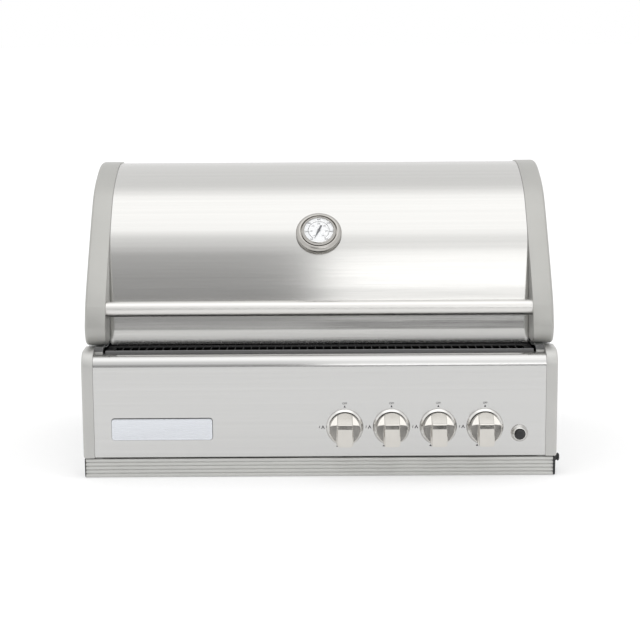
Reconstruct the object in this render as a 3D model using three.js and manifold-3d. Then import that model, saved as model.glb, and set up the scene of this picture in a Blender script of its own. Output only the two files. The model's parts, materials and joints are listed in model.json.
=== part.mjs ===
// Built-in gas grill: a hinged hood over a four-burner firebox, a control fascia and a pull-out drip tray.
// Millimetres, +X to the right of someone at the controls, +Y away from them and +Z up.
// The origin is the middle of the base pan's underside. Inside the grill, places along Y are given
// as distances back from the fascia's front face, and one group moves the whole to the origin.
import * as THREE from "three";
import { mergeVertices } from "three/addons/utils/BufferGeometryUtils.js";
import Module from "manifold-3d";

// Shared sizes
const fitGap = 0.3; // between pieces that touch
const overrun = 6; // how far a cut runs past the face that it opens
const sheet = 1.5; // folded steel sheet
const fineSides = 24; // facets of a round piece that shows
const roundSides = 20; // facets of an ordinary round piece
const pinSides = 14;
const smallSides = 8; // facets of a pipe or a pin
const mouldedSides = 12; // facets of the transit cap
const bendSteps = 2; // facets along a bend in a pipe

// Control fascia
const fasciaWidth = 790; // between its end caps
const fasciaCapWidth = 20;
const fasciaCapWall = 4;
const fasciaCapProud = 1; // how far the caps stand out from the panel
const fasciaBottom = 36; // lower edge above the base
const fasciaHeight = 187;
const fasciaBend = 28; // radius of the top front edge
const fasciaTopFlat = 3; // flat behind the bend
const fasciaRearLip = 17;
const fasciaBottomLip = 40;
const fasciaCapDepth = 62;
const fasciaCapEdge = 2; // bevel round the caps

// Badge plate
const badgeLength = 176;
const badgeHeight = 38;
const badgeThickness = 2;
const badgeCorner = 5;
const badgeLeft = 31; // gap from the fascia's left end
const badgeRise = 32; // lower edge above the fascia's lower edge
const badgeRim = 2.5;
const badgeFieldDepth = 0.6;

// Knobs and valves
const burnerCount = 4;
const knobInset = 106.4; // last knob's axis in from the fascia's right end
const knobPitch = 81.7;
const knobRise = 53; // axis above the fascia's lower edge
const knobRadius = 27.5;
const knobLength = 31.5;
const knobBackGap = 6.5; // back of the knob to the fascia
const knobTravel = 3;
const knobGripWidth = 27;
const knobScoopRadius = 14;
const knobScoopRise = 9; // top of the side scoops above the axis
const knobScoopFloor = 13; // from the knob's back to the floor of the scoops
const knobCrestRise = 7; // where the sloping top meets the grip, above the axis
const knobBrow = 15; // height of the rim over the knob's back at the foot of the slope
// The knob's outline from the middle of its back, as shares of its radius and length
const knobProfileShares = [[0, 0], [1, 0], [1, 0.4], [0.97, 0.64], [0.88, 0.88], [0.7, 1], [0, 1]];
const bezelClearance = 1.2; // round the knob
const bezelLip = 1.3;
const bezelFlare = 2.5; // from the lip out to the foot
const bezelDepth = 10;
const bezelFloor = 1.7;
const stemRadius = 4;
const stemFlat = 2.6; // from the stem's axis to its flat
const stemLength = 63;
const stemTip = 30; // how far the stem stands out of the fascia
const stemHoleGap = 3; // round the stem in the fascia and the bezels
const stemGap = 0.3;
const valveRadius = 12;
const valveFront = 9; // behind the fascia's face
const valveLength = 34;
const valveSaddle = 18; // width of the block that stands on the manifold
const nozzleRadius = 6;
const nozzleLength = 14;

// Gas pipes
const manifoldRadius = 10;
const manifoldBack = 26; // axis behind the fascia's face
const manifoldDrop = 33; // axis below the knobs' axes
const manifoldTail = 22; // past the first valve
const feedRadius = 4;
const feedBend = 5;
const feedBack = 54;
const feedStepShare = 0.32; // of the rise to the burners, between one feed pipe and the next
const inletRadius = 5;
const inletBend = 6;
const inletDrop = 11; // axis of the inlet below the fascia's lower edge
const inletBack = 34;
const inletPipeGap = 1; // round the pipe in the fascia cap's lower wall
const inletCapRadius = 7;
const inletCapLength = 14;
const inletCapWall = 1.7;
const inletCapRib = 1.2;
const inletCapRibs = 3;
const inletCapRibShare = 0.5; // of the rib pitch

// Igniter
const igniterInset = 46; // axis in from the fascia's right end
const igniterRise = 41; // above the fascia's lower edge
const igniterFlange = 4; // ring beyond its barrel
const igniterRingDepth = 6;
const igniterWall = 2;
const igniterBarrelLength = 38;
const igniterButtonRadius = 8.7;
const igniterButtonProud = 4; // out of its ring
const igniterButtonLength = 22;
const igniterButtonWall = 1.2;
const igniterButtonCrown = 3; // thickness of the button's front
const igniterTravel = 3.5;
const igniterSpringRoom = 14.5; // behind the pressed button
// The button's dome, as shares of its radius and of how far it stands out of its ring
const buttonDomeShares = [[1, 0.25], [0.8, 0.75], [0.4, 1], [0, 1]];

// Lid
const lidInset = 4; // the lid's end caps in from the fascia's
const lidCapWidth = 36.3;
const lidRise = 298;
const lidDepth = 486;
const lidFront = 29; // nose of the end caps behind the fascia's face
const lidGap = 6; // lid's end caps above the body's rim
const lidCapWall = 5;
const lidCapEdge = 3; // bevel round the outer face
const lidCapHem = 8; // rim below and behind the cap's pocket
const skinInset = 2.5; // skin below the caps' outline
const skinSetbackShare = 0.134; // of the lid's depth, foot of the skin behind the caps' nose
const skinSkirt = 16; // upright strip at the skin's foot
const skinLean = 11; // degrees that the front leans back above the skirt
const skinDrop = 6; // foot of the skin below the caps
const skinBend = 24; // rounding between the lower front and the panel above it
const skinHem = 9;
const skinClearance = 1.5; // round the foot of the skin
const linerGap = 18; // skin to liner
const linerSheet = 1;
const linerRaise = 14; // foot of the liner above the caps' lower edge
const linerSeat = 3; // caps' rim inside the liner, whose edges stand against it

// Lid outline, as shares of the lid's depth and rise from its nose and lower edge
const footShares = [0.051, 0];
const footPullShares = [0.002, 0.01];
const noseShares = [0, 0.121];
const creaseShares = [0.025, 0.232];
const frontCurveShares = [creaseShares, [0.064, 0.329], [0.144, 0.493]];
const panelTopShares = [0.261, 0.718];
const crownShares = [
  panelTopShares, [0.344, 0.852], [0.444, 0.936], [0.591, 1],
  [0.763, 0.98], [0.891, 0.879], [0.969, 0.695], [1, 0.477],
];

// Lid handle and hinge
const handleRadius = 13.5;
const handleWall = 2;
const handleBack = 27; // axis behind the lid's nose
const handleRise = 63; // axis above the caps' lower edge
const handleSocket = 12; // depth of the sockets in the caps
const hingeInset = 45; // axis in front of the lid's rear face
const hingeRise = 72; // axis above the caps' lower edge
const hingePinRadius = 4;
const hingeBoss = 10;
const hingePinHead = 7;
const hingePinHeadLength = 3;
const hingePinReach = 17; // into the boss
const hingeEar = 22; // radius of the ear round the pin, which the liner's rear edge clears

// Thermometer
const thermometerAlong = 0.6; // share of the flat panel from its foot to the thermometer's centre
const thermometerRadius = 41;
const thermometerDepth = 9;
const thermometerRing = 10; // width of the ring round the window
// The ring's outline from its rim to the window, as shares of its width and depth
const thermometerRimShares = [[1, 0.36], [0.7, 0.97], [0.16, 1]];
const dialThickness = 1;
const glassThickness = 2;
const needleLength = 21;
const needleTail = 11;
const needleShoulderShare = 0.9; // of the tail, from the hub to where it narrows
const needleWidth = 3.4;
const needleThickness = 0.8;
const needlePlay = 0.8; // over the dial
const needleRestAngle = 204; // degrees clockwise from straight up
const probeRadius = 4;
const probeLength = 58;
const probeHoleRadius = 6;

// Body
const bodyInset = 0.5; // side walls in from the fascia panel's ends
const bodyFlange = 16.5; // rim that hangs on the counter
const bodyRecess = 1; // rim below the fascia's top
const bodyTail = 30; // rear face behind the hinge axis
const basePanUpstand = 14;
const fireboxInset = 9.7; // side walls in from the lid's end caps
const fireboxLead = 1; // inner face of the front wall before the foot of the lid's skin
const fireboxRear = 18; // inner face of the rear wall before the hinge axis
const fireboxDrop = 45; // lower edge below the burners' axes
const fireboxLip = 15; // return along the bottom edges
const rearWallRise = 34; // rear wall above the hinge axis
const flangeOver = 5.5; // side flange beyond the body's side wall
const ledge = 13; // rails that hold grates and flame tamers
const grateLedgeDrop = 18; // below the body's rim
const tamerLedgeDrop = 72;
const ventDrop = 3; // vent strip below the body's rim
const ventLip = 14;
const ventSlotWidth = 12;
const ventSlotPitch = 14.2;
const ventSlotFront = 4; // first edge of the slots behind the strip's own front
const ventSlotLength = 38;
const ventInset = 19; // strip's ends in from the fascia panel's
const restWidth = 15; // pads that the closed lid stands on
const restLength = 30;

// Burners and flame tamers
const burnerStep = 31; // axes above the knobs' axes
const burnerRadius = 16;
const burnerWall = 2;
const burnerNeckRadius = 12;
const burnerInletLead = 27; // inlet before the front wall's inner face
const burnerNeckLength = 40;
const tamerGap = 32; // between one flame tamer and the next
const tamerRise = 36;

// Grates, hotplate and warming rack
const grateCount = 3;
const grateGap = 2;
const grateThickness = 12;
const grateRim = 12;
const grateBar = 7;
const grateBarPitch = 17;
const grateBridge = 9; // cross bars under the bars
const plateThickness = 5;
const plateWall = 7;
const plateSlotInset = 21; // grease slot in from the plate's front edge
const plateSlotLength = 90;
const plateSlotWidth = 18;
const rackDepth = 115;
const rackRise = 108; // above the body's rim
const rackWire = 3.5;
const rackRod = 2;
const rackRodSides = 5;
const rackWires = 15;
const rackBend = 9;
const rackBackGap = 16; // to the rear wall
const rackCapGap = 3; // legs to the lid's end caps

// Drip tray
const trayPlay = 7; // rim to the body's side walls
const trayRim = 10;
const trayWall = 1.5;
const trayFloor = 5;
const trayDrop = 7; // rim below the fascia's lower edge
const trayShort = 60; // rear end before the body's rear face
const trayRunner = 14;
const railThickness = 13.5;
const railBottom = 1;
const railGap = 2; // top edge below the fascia
const railInset = 6; // ends in from the fascia caps' outer faces
const railRibs = 5;
const railGrooveDepth = 1.6;
const railGrooveShare = 0.4; // of the rib pitch
const railSlopeShare = 0.3; // of the groove's width, on each side
const railCapThickness = 3.7;
const railCapProud = 1;

// Heights and places worked out from the sizes above
const rimTop = fasciaBottom + fasciaHeight - bodyRecess;
const lidBottom = rimTop + lidGap;
const lidHalf = fasciaWidth / 2 + fasciaCapWidth - lidInset;
const lidCapInner = lidHalf - lidCapWidth;
const knobHeight = fasciaBottom + knobRise;
const knobBack = -knobBackGap;
const knobFront = knobBack - knobLength;
const stemHoleRadius = stemRadius + stemHoleGap;
const bezelBore = knobRadius + bezelClearance;
const bezelLipRadius = bezelBore + bezelLip;
const bezelRadius = bezelLipRadius + bezelFlare;
const igniterRight = fasciaWidth / 2 - igniterInset;
const igniterBarrelRadius = igniterButtonRadius + fitGap + igniterWall;
const igniterRingRadius = igniterBarrelRadius + igniterFlange;
const hingeHeight = lidBottom + hingeRise;
const skinSetback = lidDepth * skinSetbackShare;
const hingeBack = lidFront + lidDepth - hingeInset;
const thermometerWindow = thermometerRadius - thermometerRing;
const fireboxHalf = lidCapInner - fireboxInset;
const fireboxFront = lidFront + skinSetback - fireboxLead;
const fireboxBack = hingeBack - fireboxRear;
const bodyBack = hingeBack + bodyTail;
const ventTop = rimTop - ventDrop;
const ventFront = fasciaBend + fasciaTopFlat + fitGap;
const ventHalf = fasciaWidth / 2 - ventInset;
const burnerHeight = knobHeight + burnerStep;
const burnerPitch = ((fireboxHalf - sheet) * 2) / burnerCount;
const tamerWidth = burnerPitch - tamerGap;
const fireboxBottom = burnerHeight - fireboxDrop;
const grateLedgeTop = rimTop - grateLedgeDrop;
const tamerLedgeTop = rimTop - tamerLedgeDrop;
const bodyHalf = fasciaWidth / 2 - bodyInset;
const trayHalf = bodyHalf - sheet - trayPlay;
const trayTop = fasciaBottom - trayDrop;
const trayBack = bodyBack - trayShort;
const railHalf = fasciaWidth / 2 + fasciaCapWidth - railInset;
const railHeight = fasciaBottom - railGap - railBottom;
const inletRise = fasciaBottom - inletDrop;
const baseFront = fasciaCapDepth + fitGap;
const baseMiddle = (baseFront + bodyBack) / 2;

const wasm = await Module();
wasm.setup();

// Solids

// A closed three.js geometry as a solid that can be joined and cut.
function solidOf(geometry) {
  geometry.deleteAttribute("normal");
  geometry.deleteAttribute("uv");
  const merged = mergeVertices(geometry);
  const corners = [...merged.index.array];
  const kept = [];
  for (let i = 0; i < corners.length; i += 3) {
    const [a, b, c] = corners.slice(i, i + 3);
    if (a !== b && b !== c && c !== a) kept.push(a, b, c);
  }
  return new wasm.Manifold(
    new wasm.Mesh({
      numProp: 3,
      vertProperties: merged.attributes.position.array,
      triVerts: new Uint32Array(kept),
    }),
  );
}

// A solid as a three.js geometry.
function geometryOf(solid) {
  const { vertProperties, triVerts } = solid.getMesh();
  const geometry = new THREE.BufferGeometry();
  geometry.setAttribute("position", new THREE.BufferAttribute(vertProperties, 3));
  geometry.setIndex(new THREE.BufferAttribute(triVerts, 1));
  geometry.computeVertexNormals();
  return geometry;
}

function join(...solids) {
  return solids.flat().reduce((whole, solid) => whole.add(solid));
}

function cut(solid, ...tools) {
  return tools.flat().reduce((whole, tool) => whole.subtract(tool), solid);
}

function block([x0, x1], [y0, y1], [z0, z1]) {
  const geometry = new THREE.BoxGeometry(x1 - x0, y1 - y0, z1 - z0);
  geometry.translate((x0 + x1) / 2, (y0 + y1) / 2, (z0 + z1) / 2);
  return solidOf(geometry);
}

function rodAlongX(radius, [x0, x1], y, z, sides = roundSides) {
  const geometry = new THREE.CylinderGeometry(radius, radius, x1 - x0, sides);
  geometry.rotateZ(Math.PI / 2);
  geometry.translate((x0 + x1) / 2, y, z);
  return solidOf(geometry);
}

function rodAlongY(radius, x, [y0, y1], z, sides = roundSides) {
  const geometry = new THREE.CylinderGeometry(radius, radius, y1 - y0, sides);
  geometry.translate(x, (y0 + y1) / 2, z);
  return solidOf(geometry);
}

function rodAlongZ(radius, x, y, [z0, z1], sides = roundSides) {
  const geometry = new THREE.CylinderGeometry(radius, radius, z1 - z0, sides);
  geometry.rotateX(Math.PI / 2);
  geometry.translate(x, y, (z0 + z1) / 2);
  return solidOf(geometry);
}

// A line through corners that are each rounded by a bend, with stations only where it turns.
class BentLine extends THREE.Curve {
  constructor(corners, bend) {
    super();
    this.stations = corners.flatMap((corner, i) => {
      if (i === 0 || i === corners.length - 1) return [corner];
      const [start, end] = [corners[i - 1], corners[i + 1]].map((next) => {
        const step = next.clone().sub(corner);
        return corner.clone().addScaledVector(step.normalize(), bend);
      });
      return new THREE.QuadraticBezierCurve3(start, corner, end).getPoints(bendSteps);
    });
  }

  getPointAt(share) {
    return this.stations[Math.round(share * (this.stations.length - 1))].clone();
  }

  getTangentAt(share) {
    const last = this.stations.length - 1;
    const i = Math.round(share * last);
    return this.stations[Math.min(i + 1, last)].clone().sub(this.stations[Math.max(i - 1, 0)]).normalize();
  }
}

// A round rod or pipe bent through corners.
function bentRod(corners, radius, bend, rodSides = smallSides) {
  const line = new BentLine(corners, bend);
  const section = arc(0, 0, radius, 0, 360 - 360 / rodSides, rodSides - 1);
  return solidOf(new THREE.ExtrudeGeometry(new THREE.Shape(section), {
    steps: line.stations.length - 1,
    extrudePath: line,
  }));
}

function spot(x, y, z) {
  return new THREE.Vector3(x, y, z);
}

const alongX = new THREE.Vector3(1, 0, 0);
const alongY = new THREE.Vector3(0, 1, 0);
const alongZ = new THREE.Vector3(0, 0, 1);

// An outline of points (back, up) drawn out along X, with an optional bevel that stays inside it.
function prismAlongX(outline, [x0, x1], bevel = 0) {
  const geometry = new THREE.ExtrudeGeometry(new THREE.Shape(outline), {
    depth: x1 - x0 - bevel * 2,
    bevelEnabled: bevel > 0,
    bevelSize: bevel,
    bevelThickness: bevel,
    bevelOffset: -bevel,
    bevelSegments: 2,
  });
  geometry.translate(0, 0, x0 + bevel);
  geometry.applyMatrix4(new THREE.Matrix4().makeBasis(alongY, alongZ, alongX));
  return solidOf(geometry);
}

// A flat plate of an outline of points (right, up), before it is turned and placed.
function slab(outline, depth) {
  return new THREE.ExtrudeGeometry(new THREE.Shape(outline), { depth, bevelEnabled: false });
}

// An outline of points (right, up) drawn out along Y.
function prismAlongY(outline, [y0, y1]) {
  const geometry = slab(outline, y1 - y0);
  geometry.translate(0, 0, -y1);
  geometry.applyMatrix4(new THREE.Matrix4().makeBasis(alongX, alongZ, alongY.clone().negate()));
  return solidOf(geometry);
}

// A profile of points (radius, distance back) turned round an axis that runs back.
function turnedBack(profile, x, z, sides = roundSides) {
  const geometry = new THREE.LatheGeometry(profile, sides);
  geometry.translate(x, 0, z);
  return solidOf(geometry);
}

// A profile of points (radius, distance forward) turned round an axis that runs back.
function turnedForward(profile, x, z, sides = roundSides) {
  const geometry = new THREE.LatheGeometry(profile, sides);
  geometry.rotateX(Math.PI);
  geometry.translate(x, 0, z);
  return solidOf(geometry);
}

// Outlines

function at(a, b) {
  return new THREE.Vector2(a, b);
}

// The path moved sideways to its left by a distance, with mitred corners.
function offset(path, distance) {
  return path.map((point, i) => {
    const before = point.clone().sub(path[Math.max(i - 1, 0)]);
    const after = path[Math.min(i + 1, path.length - 1)].clone().sub(point);
    const first = (i > 0 ? before : after).clone().normalize();
    const second = (i < path.length - 1 ? after : before).clone().normalize();
    const normal = at(-first.y - second.y, first.x + second.x).normalize();
    const reach = distance / (normal.x * -first.y + normal.y * first.x);
    return point.clone().addScaledVector(normal, reach);
  });
}

// The section of a sheet that is folded along a path and lies on its left.
function folded(path, thickness) {
  return [...path, ...offset(path, thickness).reverse()];
}

function arc(centreA, centreB, radius, fromDegrees, toDegrees, steps = 6) {
  return Array.from({ length: steps + 1 }, (_, i) => {
    const angle = THREE.MathUtils.degToRad(fromDegrees + ((toDegrees - fromDegrees) * i) / steps);
    return at(centreA + radius * Math.cos(angle), centreB + radius * Math.sin(angle));
  });
}

// One corner of a path between its neighbours, replaced by a curve that starts a reach away from it.
function rounded(before, corner, after, reach, steps = 4) {
  const start = corner.clone().addScaledVector(before.clone().sub(corner).normalize(), reach);
  const end = corner.clone().addScaledVector(after.clone().sub(corner).normalize(), reach);
  return new THREE.QuadraticBezierCurve(start, corner, end).getPoints(steps);
}

function roundedRectangle([a0, a1], [b0, b1], radius, steps = 3) {
  return [
    ...arc(a1 - radius, b0 + radius, radius, -90, 0, steps),
    ...arc(a1 - radius, b1 - radius, radius, 0, 90, steps),
    ...arc(a0 + radius, b1 - radius, radius, 90, 180, steps),
    ...arc(a0 + radius, b0 + radius, radius, 180, 270, steps),
  ];
}

// Materials

function metal(color, roughness, metalness = 1) {
  return new THREE.MeshStandardMaterial({ color, roughness, metalness });
}

const brushedSteel = metal(0xc9c8c4, 0.32);
const satinCasting = metal(0xc6c5c0, 0.5, 0.6);
const polishedSteel = metal(0xd8d6d0, 0.15);
const galvanisedSteel = metal(0xa9abad, 0.5);
const blackEnamel = metal(0x232324, 0.45, 0.1);
const castIron = metal(0x2c2b2a, 0.8, 0.3);
const brass = metal(0xb89a55, 0.4);
const blackPlastic = metal(0x1b1b1b, 0.5, 0);
const whiteDial = metal(0xf2f2ee, 0.6, 0);
const darkNeedle = metal(0x33363a, 0.5, 0.2);
const clearGlass = metal(0xffffff, 0.05, 0);

// The whole grill

const grill = new THREE.Group();
grill.position.y = -baseMiddle;

function addPiece(name, solid, material, parent = grill) {
  const mesh = new THREE.Mesh(geometryOf(solid), material.clone());
  mesh.name = name;
  parent.add(mesh);
  return mesh;
}

function mirrored(range, side) {
  return side > 0 ? range : [-range[1], -range[0]];
}

const sides = [
  ["left", -1],
  ["right", 1],
];

// Control fascia

function fasciaPanel() {
  const top = fasciaBottom + fasciaHeight;
  const rear = fasciaBend + fasciaTopFlat;
  const path = [
    at(fasciaBottomLip, fasciaBottom),
    at(0, fasciaBottom),
    ...arc(fasciaBend, top - fasciaBend, fasciaBend, 180, 90),
    at(rear, top),
    at(rear, top - fasciaRearLip),
  ];
  const half = fasciaWidth / 2 - fitGap;
  const panel = prismAlongX(folded(path, -sheet), [-half, half]);
  const holes = knobPlaces().map((x) =>
    rodAlongY(stemHoleRadius, x, [-overrun, overrun], knobHeight, pinSides));
  const igniterHole = rodAlongY(
    igniterBarrelRadius + fitGap, igniterRight, [-overrun, overrun], fasciaBottom + igniterRise,
  );
  return cut(panel, holes, igniterHole);
}

function fasciaCap(side) {
  const front = -fasciaCapProud;
  const top = fasciaBottom + fasciaHeight + fasciaCapProud;
  const bend = fasciaBend + fasciaCapProud;
  const outline = [
    at(front, fasciaBottom),
    ...arc(front + bend, top - bend, bend, 180, 90),
    at(fasciaCapDepth, top),
    at(fasciaCapDepth, fasciaBottom),
  ];
  const inner = fasciaWidth / 2;
  const outer = inner + fasciaCapWidth;
  const body = prismAlongX(outline, mirrored([inner - overrun, outer], side), fasciaCapEdge);
  const cutOff = block(
    mirrored([inner - overrun * 2, inner], side),
    [front - overrun, fasciaCapDepth + overrun],
    [fasciaBottom - overrun, top + overrun],
  );
  const pocket = block(
    mirrored([inner - overrun, outer - fasciaCapWall], side),
    [front + fasciaCapWall, fasciaCapDepth - fasciaCapWall],
    [fasciaBottom + fasciaCapWall, top - bend],
  );
  const pipeHole = rodAlongZ(
    inletRadius + inletPipeGap, side * inletDropPlace(), inletBack,
    [fasciaBottom - overrun, fasciaBottom + overrun],
  );
  return cut(body, cutOff, pocket, side > 0 ? [pipeHole] : []);
}

function badgePlate() {
  const left = -fasciaWidth / 2 + badgeLeft;
  const bottom = fasciaBottom + badgeRise;
  const across = [left, left + badgeLength];
  const up = [bottom, bottom + badgeHeight];
  const plate = prismAlongY(roundedRectangle(across, up, badgeCorner), [-fitGap - badgeThickness, -fitGap]);
  const field = prismAlongY(
    roundedRectangle(
      [across[0] + badgeRim, across[1] - badgeRim], [up[0] + badgeRim, up[1] - badgeRim],
      badgeCorner - badgeRim,
    ),
    [-fitGap - badgeThickness - overrun, -fitGap - badgeThickness + badgeFieldDepth],
  );
  return cut(plate, field);
}

// Knobs and valves

function knobPlaces() {
  const last = fasciaWidth / 2 - knobInset;
  return Array.from({ length: burnerCount }, (_, i) => last - (burnerCount - 1 - i) * knobPitch);
}

function knob(x) {
  const profile = knobProfileShares.map(([out, up]) => at(knobRadius * out, knobBackGap + knobLength * up));
  const body = turnedForward(profile, x, knobHeight, fineSides);
  const slope = prismAlongX(
    [
      at(knobBack - knobBrow, knobHeight + knobRadius),
      at(knobFront, knobHeight + knobCrestRise),
      at(knobFront - overrun, knobHeight + knobCrestRise),
      at(knobFront - overrun, knobHeight + knobRadius + overrun),
      at(knobBack - knobBrow, knobHeight + knobRadius + overrun),
    ],
    [x - knobRadius - overrun, x + knobRadius + overrun],
  );
  const scoops = sides.map(([, side]) => {
    const grip = x + (side * knobGripWidth) / 2;
    const centre = knobHeight + knobScoopRise - knobScoopRadius;
    const out = knobRadius + overrun;
    const curve = arc(grip, centre, knobScoopRadius, 90, side > 0 ? 0 : 180);
    return prismAlongY(
      [
        ...curve,
        at(x + side * out, centre),
        at(x + side * out, knobHeight - out),
        at(grip, knobHeight - out),
      ],
      [knobFront - overrun, knobBack - knobScoopFloor],
    );
  });
  const boreEnd = -stemTip - knobTravel - stemGap;
  const bore = stemShape(stemRadius + stemGap, stemFlat + stemGap, x, [boreEnd, overrun]);
  return cut(body, slope, scoops, bore);
}

// A round shaft with one flat on top, as the stem and the knob's bore have.
function stemShape(radius, flat, x, [y0, y1]) {
  const shaft = rodAlongY(radius, x, [y0, y1], knobHeight);
  const flatCut = block(
    [x - radius - overrun, x + radius + overrun], [y0 - overrun, y1 + overrun],
    [knobHeight + flat, knobHeight + radius + overrun],
  );
  return cut(shaft, flatCut);
}

function knobBezel(x) {
  return turnedForward(
    [
      at(stemHoleRadius, fitGap),
      at(bezelRadius, fitGap),
      at(bezelRadius, fitGap + bezelFloor),
      at(bezelLipRadius, bezelDepth),
      at(bezelBore, bezelDepth),
      at(bezelBore, fitGap + bezelFloor),
      at(stemHoleRadius, fitGap + bezelFloor),
      at(stemHoleRadius, fitGap),
    ],
    x, knobHeight, fineSides,
  );
}

function valveStem(x) {
  return stemShape(stemRadius, stemFlat, x, [-stemTip, -stemTip + stemLength]);
}

// A valve with its saddle on the manifold and the feed pipe that runs to its burner.
function valveBody(x, burnerX, level) {
  const back = valveFront + valveLength;
  const body = rodAlongY(valveRadius, x, [valveFront, back], knobHeight, pinSides);
  const manifoldHeight = knobHeight - manifoldDrop;
  const saddle = block(
    [x - valveSaddle / 2, x + valveSaddle / 2],
    [manifoldBack - valveSaddle / 2, manifoldBack + valveSaddle / 2],
    [manifoldHeight, knobHeight],
  );
  const seat = rodAlongX(
    manifoldRadius + fitGap, [x - valveSaddle, x + valveSaddle], manifoldBack, manifoldHeight, pinSides,
  );
  const boreEnd = -stemTip + stemLength + stemGap;
  const bore = rodAlongY(stemRadius + stemGap, x, [0, boreEnd], knobHeight, pinSides);
  const run = knobHeight + (burnerHeight - knobHeight) * level;
  const corners = [
    spot(x, back - overrun, knobHeight), spot(x, feedBack, knobHeight), spot(x, feedBack, run),
    spot(burnerX, feedBack, run),
  ];
  if (run < burnerHeight) corners.push(spot(burnerX, feedBack, burnerHeight));
  corners.push(spot(burnerX, feedBack + nozzleLength, burnerHeight));
  const pipe = bentRod(corners, feedRadius, feedBend);
  const nozzleFront = feedBack + feedBend;
  const nozzle = rodAlongY(
    nozzleRadius, burnerX, [nozzleFront, nozzleFront + nozzleLength], burnerHeight, pinSides,
  );
  return join(cut(join(body, saddle), seat, bore), pipe, nozzle);
}

function gasManifold() {
  const height = knobHeight - manifoldDrop;
  const right = inletDropPlace();
  const places = knobPlaces();
  const main = rodAlongX(
    manifoldRadius, [places[0] - manifoldTail, places.at(-1) + manifoldTail], manifoldBack, height,
  );
  const turnBack = places.at(-1) + manifoldTail - inletRadius;
  const pipe = bentRod(
    [
      spot(turnBack, manifoldBack, height), spot(turnBack, inletBack, height), spot(right, inletBack, height),
      spot(right, inletBack, inletRise), spot(inletEnd(), inletBack, inletRise),
    ],
    inletRadius, inletBend,
  );
  return join(main, pipe);
}

// Where the inlet pipe drops through the hollow right-hand fascia cap.
function inletDropPlace() {
  return fasciaWidth / 2 + (fasciaCapWidth - fasciaCapWall) / 2;
}

// Where the inlet stub ends, inside its transit cap.
function inletEnd() {
  return fasciaWidth / 2 + fasciaCapWidth + inletCapLength / 2;
}

function gasInletCap() {
  const end = inletEnd() + fitGap + inletCapWall;
  const start = end - inletCapLength;
  const core = rodAlongX(inletCapRadius - inletCapRib, [start, end], inletBack, inletRise, mouldedSides);
  const pitch = inletCapLength / inletCapRibs;
  const rib = pitch * inletCapRibShare;
  const ribs = Array.from({ length: inletCapRibs }, (_, i) => {
    const left = start + pitch * i + (pitch - rib) / 2;
    return rodAlongX(inletCapRadius, [left, left + rib], inletBack, inletRise, mouldedSides);
  });
  const bore = rodAlongX(
    inletRadius + fitGap, [start - overrun, end - inletCapWall], inletBack, inletRise, mouldedSides,
  );
  return cut(join(core, ribs), bore);
}

// Igniter

function igniterHousing() {
  const height = fasciaBottom + igniterRise;
  const profile = [
    at(0, -igniterBarrelLength),
    at(igniterBarrelRadius, -igniterBarrelLength),
    at(igniterBarrelRadius, fitGap),
    at(igniterRingRadius, fitGap),
    at(igniterRingRadius, igniterRingDepth / 2),
    at(igniterRingRadius - igniterRingDepth / 2, igniterRingDepth),
    at(0, igniterRingDepth),
  ];
  const wellEnd = igniterButtonBack() + igniterTravel + igniterSpringRoom;
  const well = rodAlongY(
    igniterButtonRadius + fitGap, igniterRight, [-igniterRingDepth - overrun, wellEnd], height,
  );
  return cut(turnedForward(profile, igniterRight, height), well);
}

// The button's rear end behind the fascia's face, when it isn't pressed.
function igniterButtonBack() {
  return igniterButtonLength - igniterButtonProud - igniterRingDepth;
}

// A moulded cap, open at the back, which takes the spring.
function igniterButton() {
  const back = -igniterButtonBack();
  const dome = buttonDomeShares.map(([out, up]) =>
    at(igniterButtonRadius * out, igniterRingDepth + igniterButtonProud * up));
  const profile = [at(0, back), at(igniterButtonRadius, back), ...dome];
  const height = fasciaBottom + igniterRise;
  const crown = -igniterRingDepth - igniterButtonProud + igniterButtonCrown;
  const hollow = rodAlongY(
    igniterButtonRadius - igniterButtonWall, igniterRight, [crown, overrun - back], height,
  );
  return cut(turnedForward(profile, igniterRight, height), hollow);
}

// Lid

function lidPoint([back, up]) {
  return at(lidFront + back * lidDepth, lidBottom + up * lidRise);
}

// The end caps' outline from the crease at the nose, up over the crown and down the back.
function lidCurve(steps) {
  const front = new THREE.SplineCurve(frontCurveShares.map(lidPoint)).getPoints(steps);
  const crown = new THREE.SplineCurve(crownShares.map(lidPoint)).getPoints(steps * 4);
  return [...front, ...crown];
}

// Foot and top of the flat panel that carries the thermometer, on the skin's outer face.
function panelEnds() {
  const ends = [lidPoint(frontCurveShares.at(-1)), lidPoint(panelTopShares)];
  return offset(ends, -skinInset);
}

// The skin's outer face from its foot over the crown to its rear edge.
function skinPath(steps) {
  const lean = Math.tan(THREE.MathUtils.degToRad(skinLean));
  const footHeight = lidBottom - skinDrop;
  const foot = at(lidFront + skinSetback, footHeight);
  const skirt = at(foot.x, footHeight + skinSkirt);
  const [panelFoot, panelTop] = panelEnds();
  const slope = (panelTop.x - panelFoot.x) / (panelTop.y - panelFoot.y);
  const bendHeight = (skirt.x - panelFoot.x + slope * panelFoot.y - lean * skirt.y) / (slope - lean);
  const bend = at(skirt.x + lean * (bendHeight - skirt.y), bendHeight);
  const crown = new THREE.SplineCurve(crownShares.map(lidPoint)).getPoints(steps * 4);
  const rear = at(crown.at(-1).x, hingeHeight);
  const over = offset([lidPoint(frontCurveShares.at(-1)), ...crown, rear], -skinInset);
  return [foot, skirt, ...rounded(skirt, bend, panelTop, skinBend), ...over.slice(1)];
}

function lidSkin() {
  const path = skinPath(5);
  const hem = at(path[0].x + skinHem, path[0].y);
  const half = lidCapInner - fitGap;
  const skin = prismAlongX(folded([hem, ...path], -sheet), [-half, half]);
  return cut(skin, onPanel(rodThrough(probeHoleRadius, -overrun * 2, overrun * 2)));
}

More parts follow.
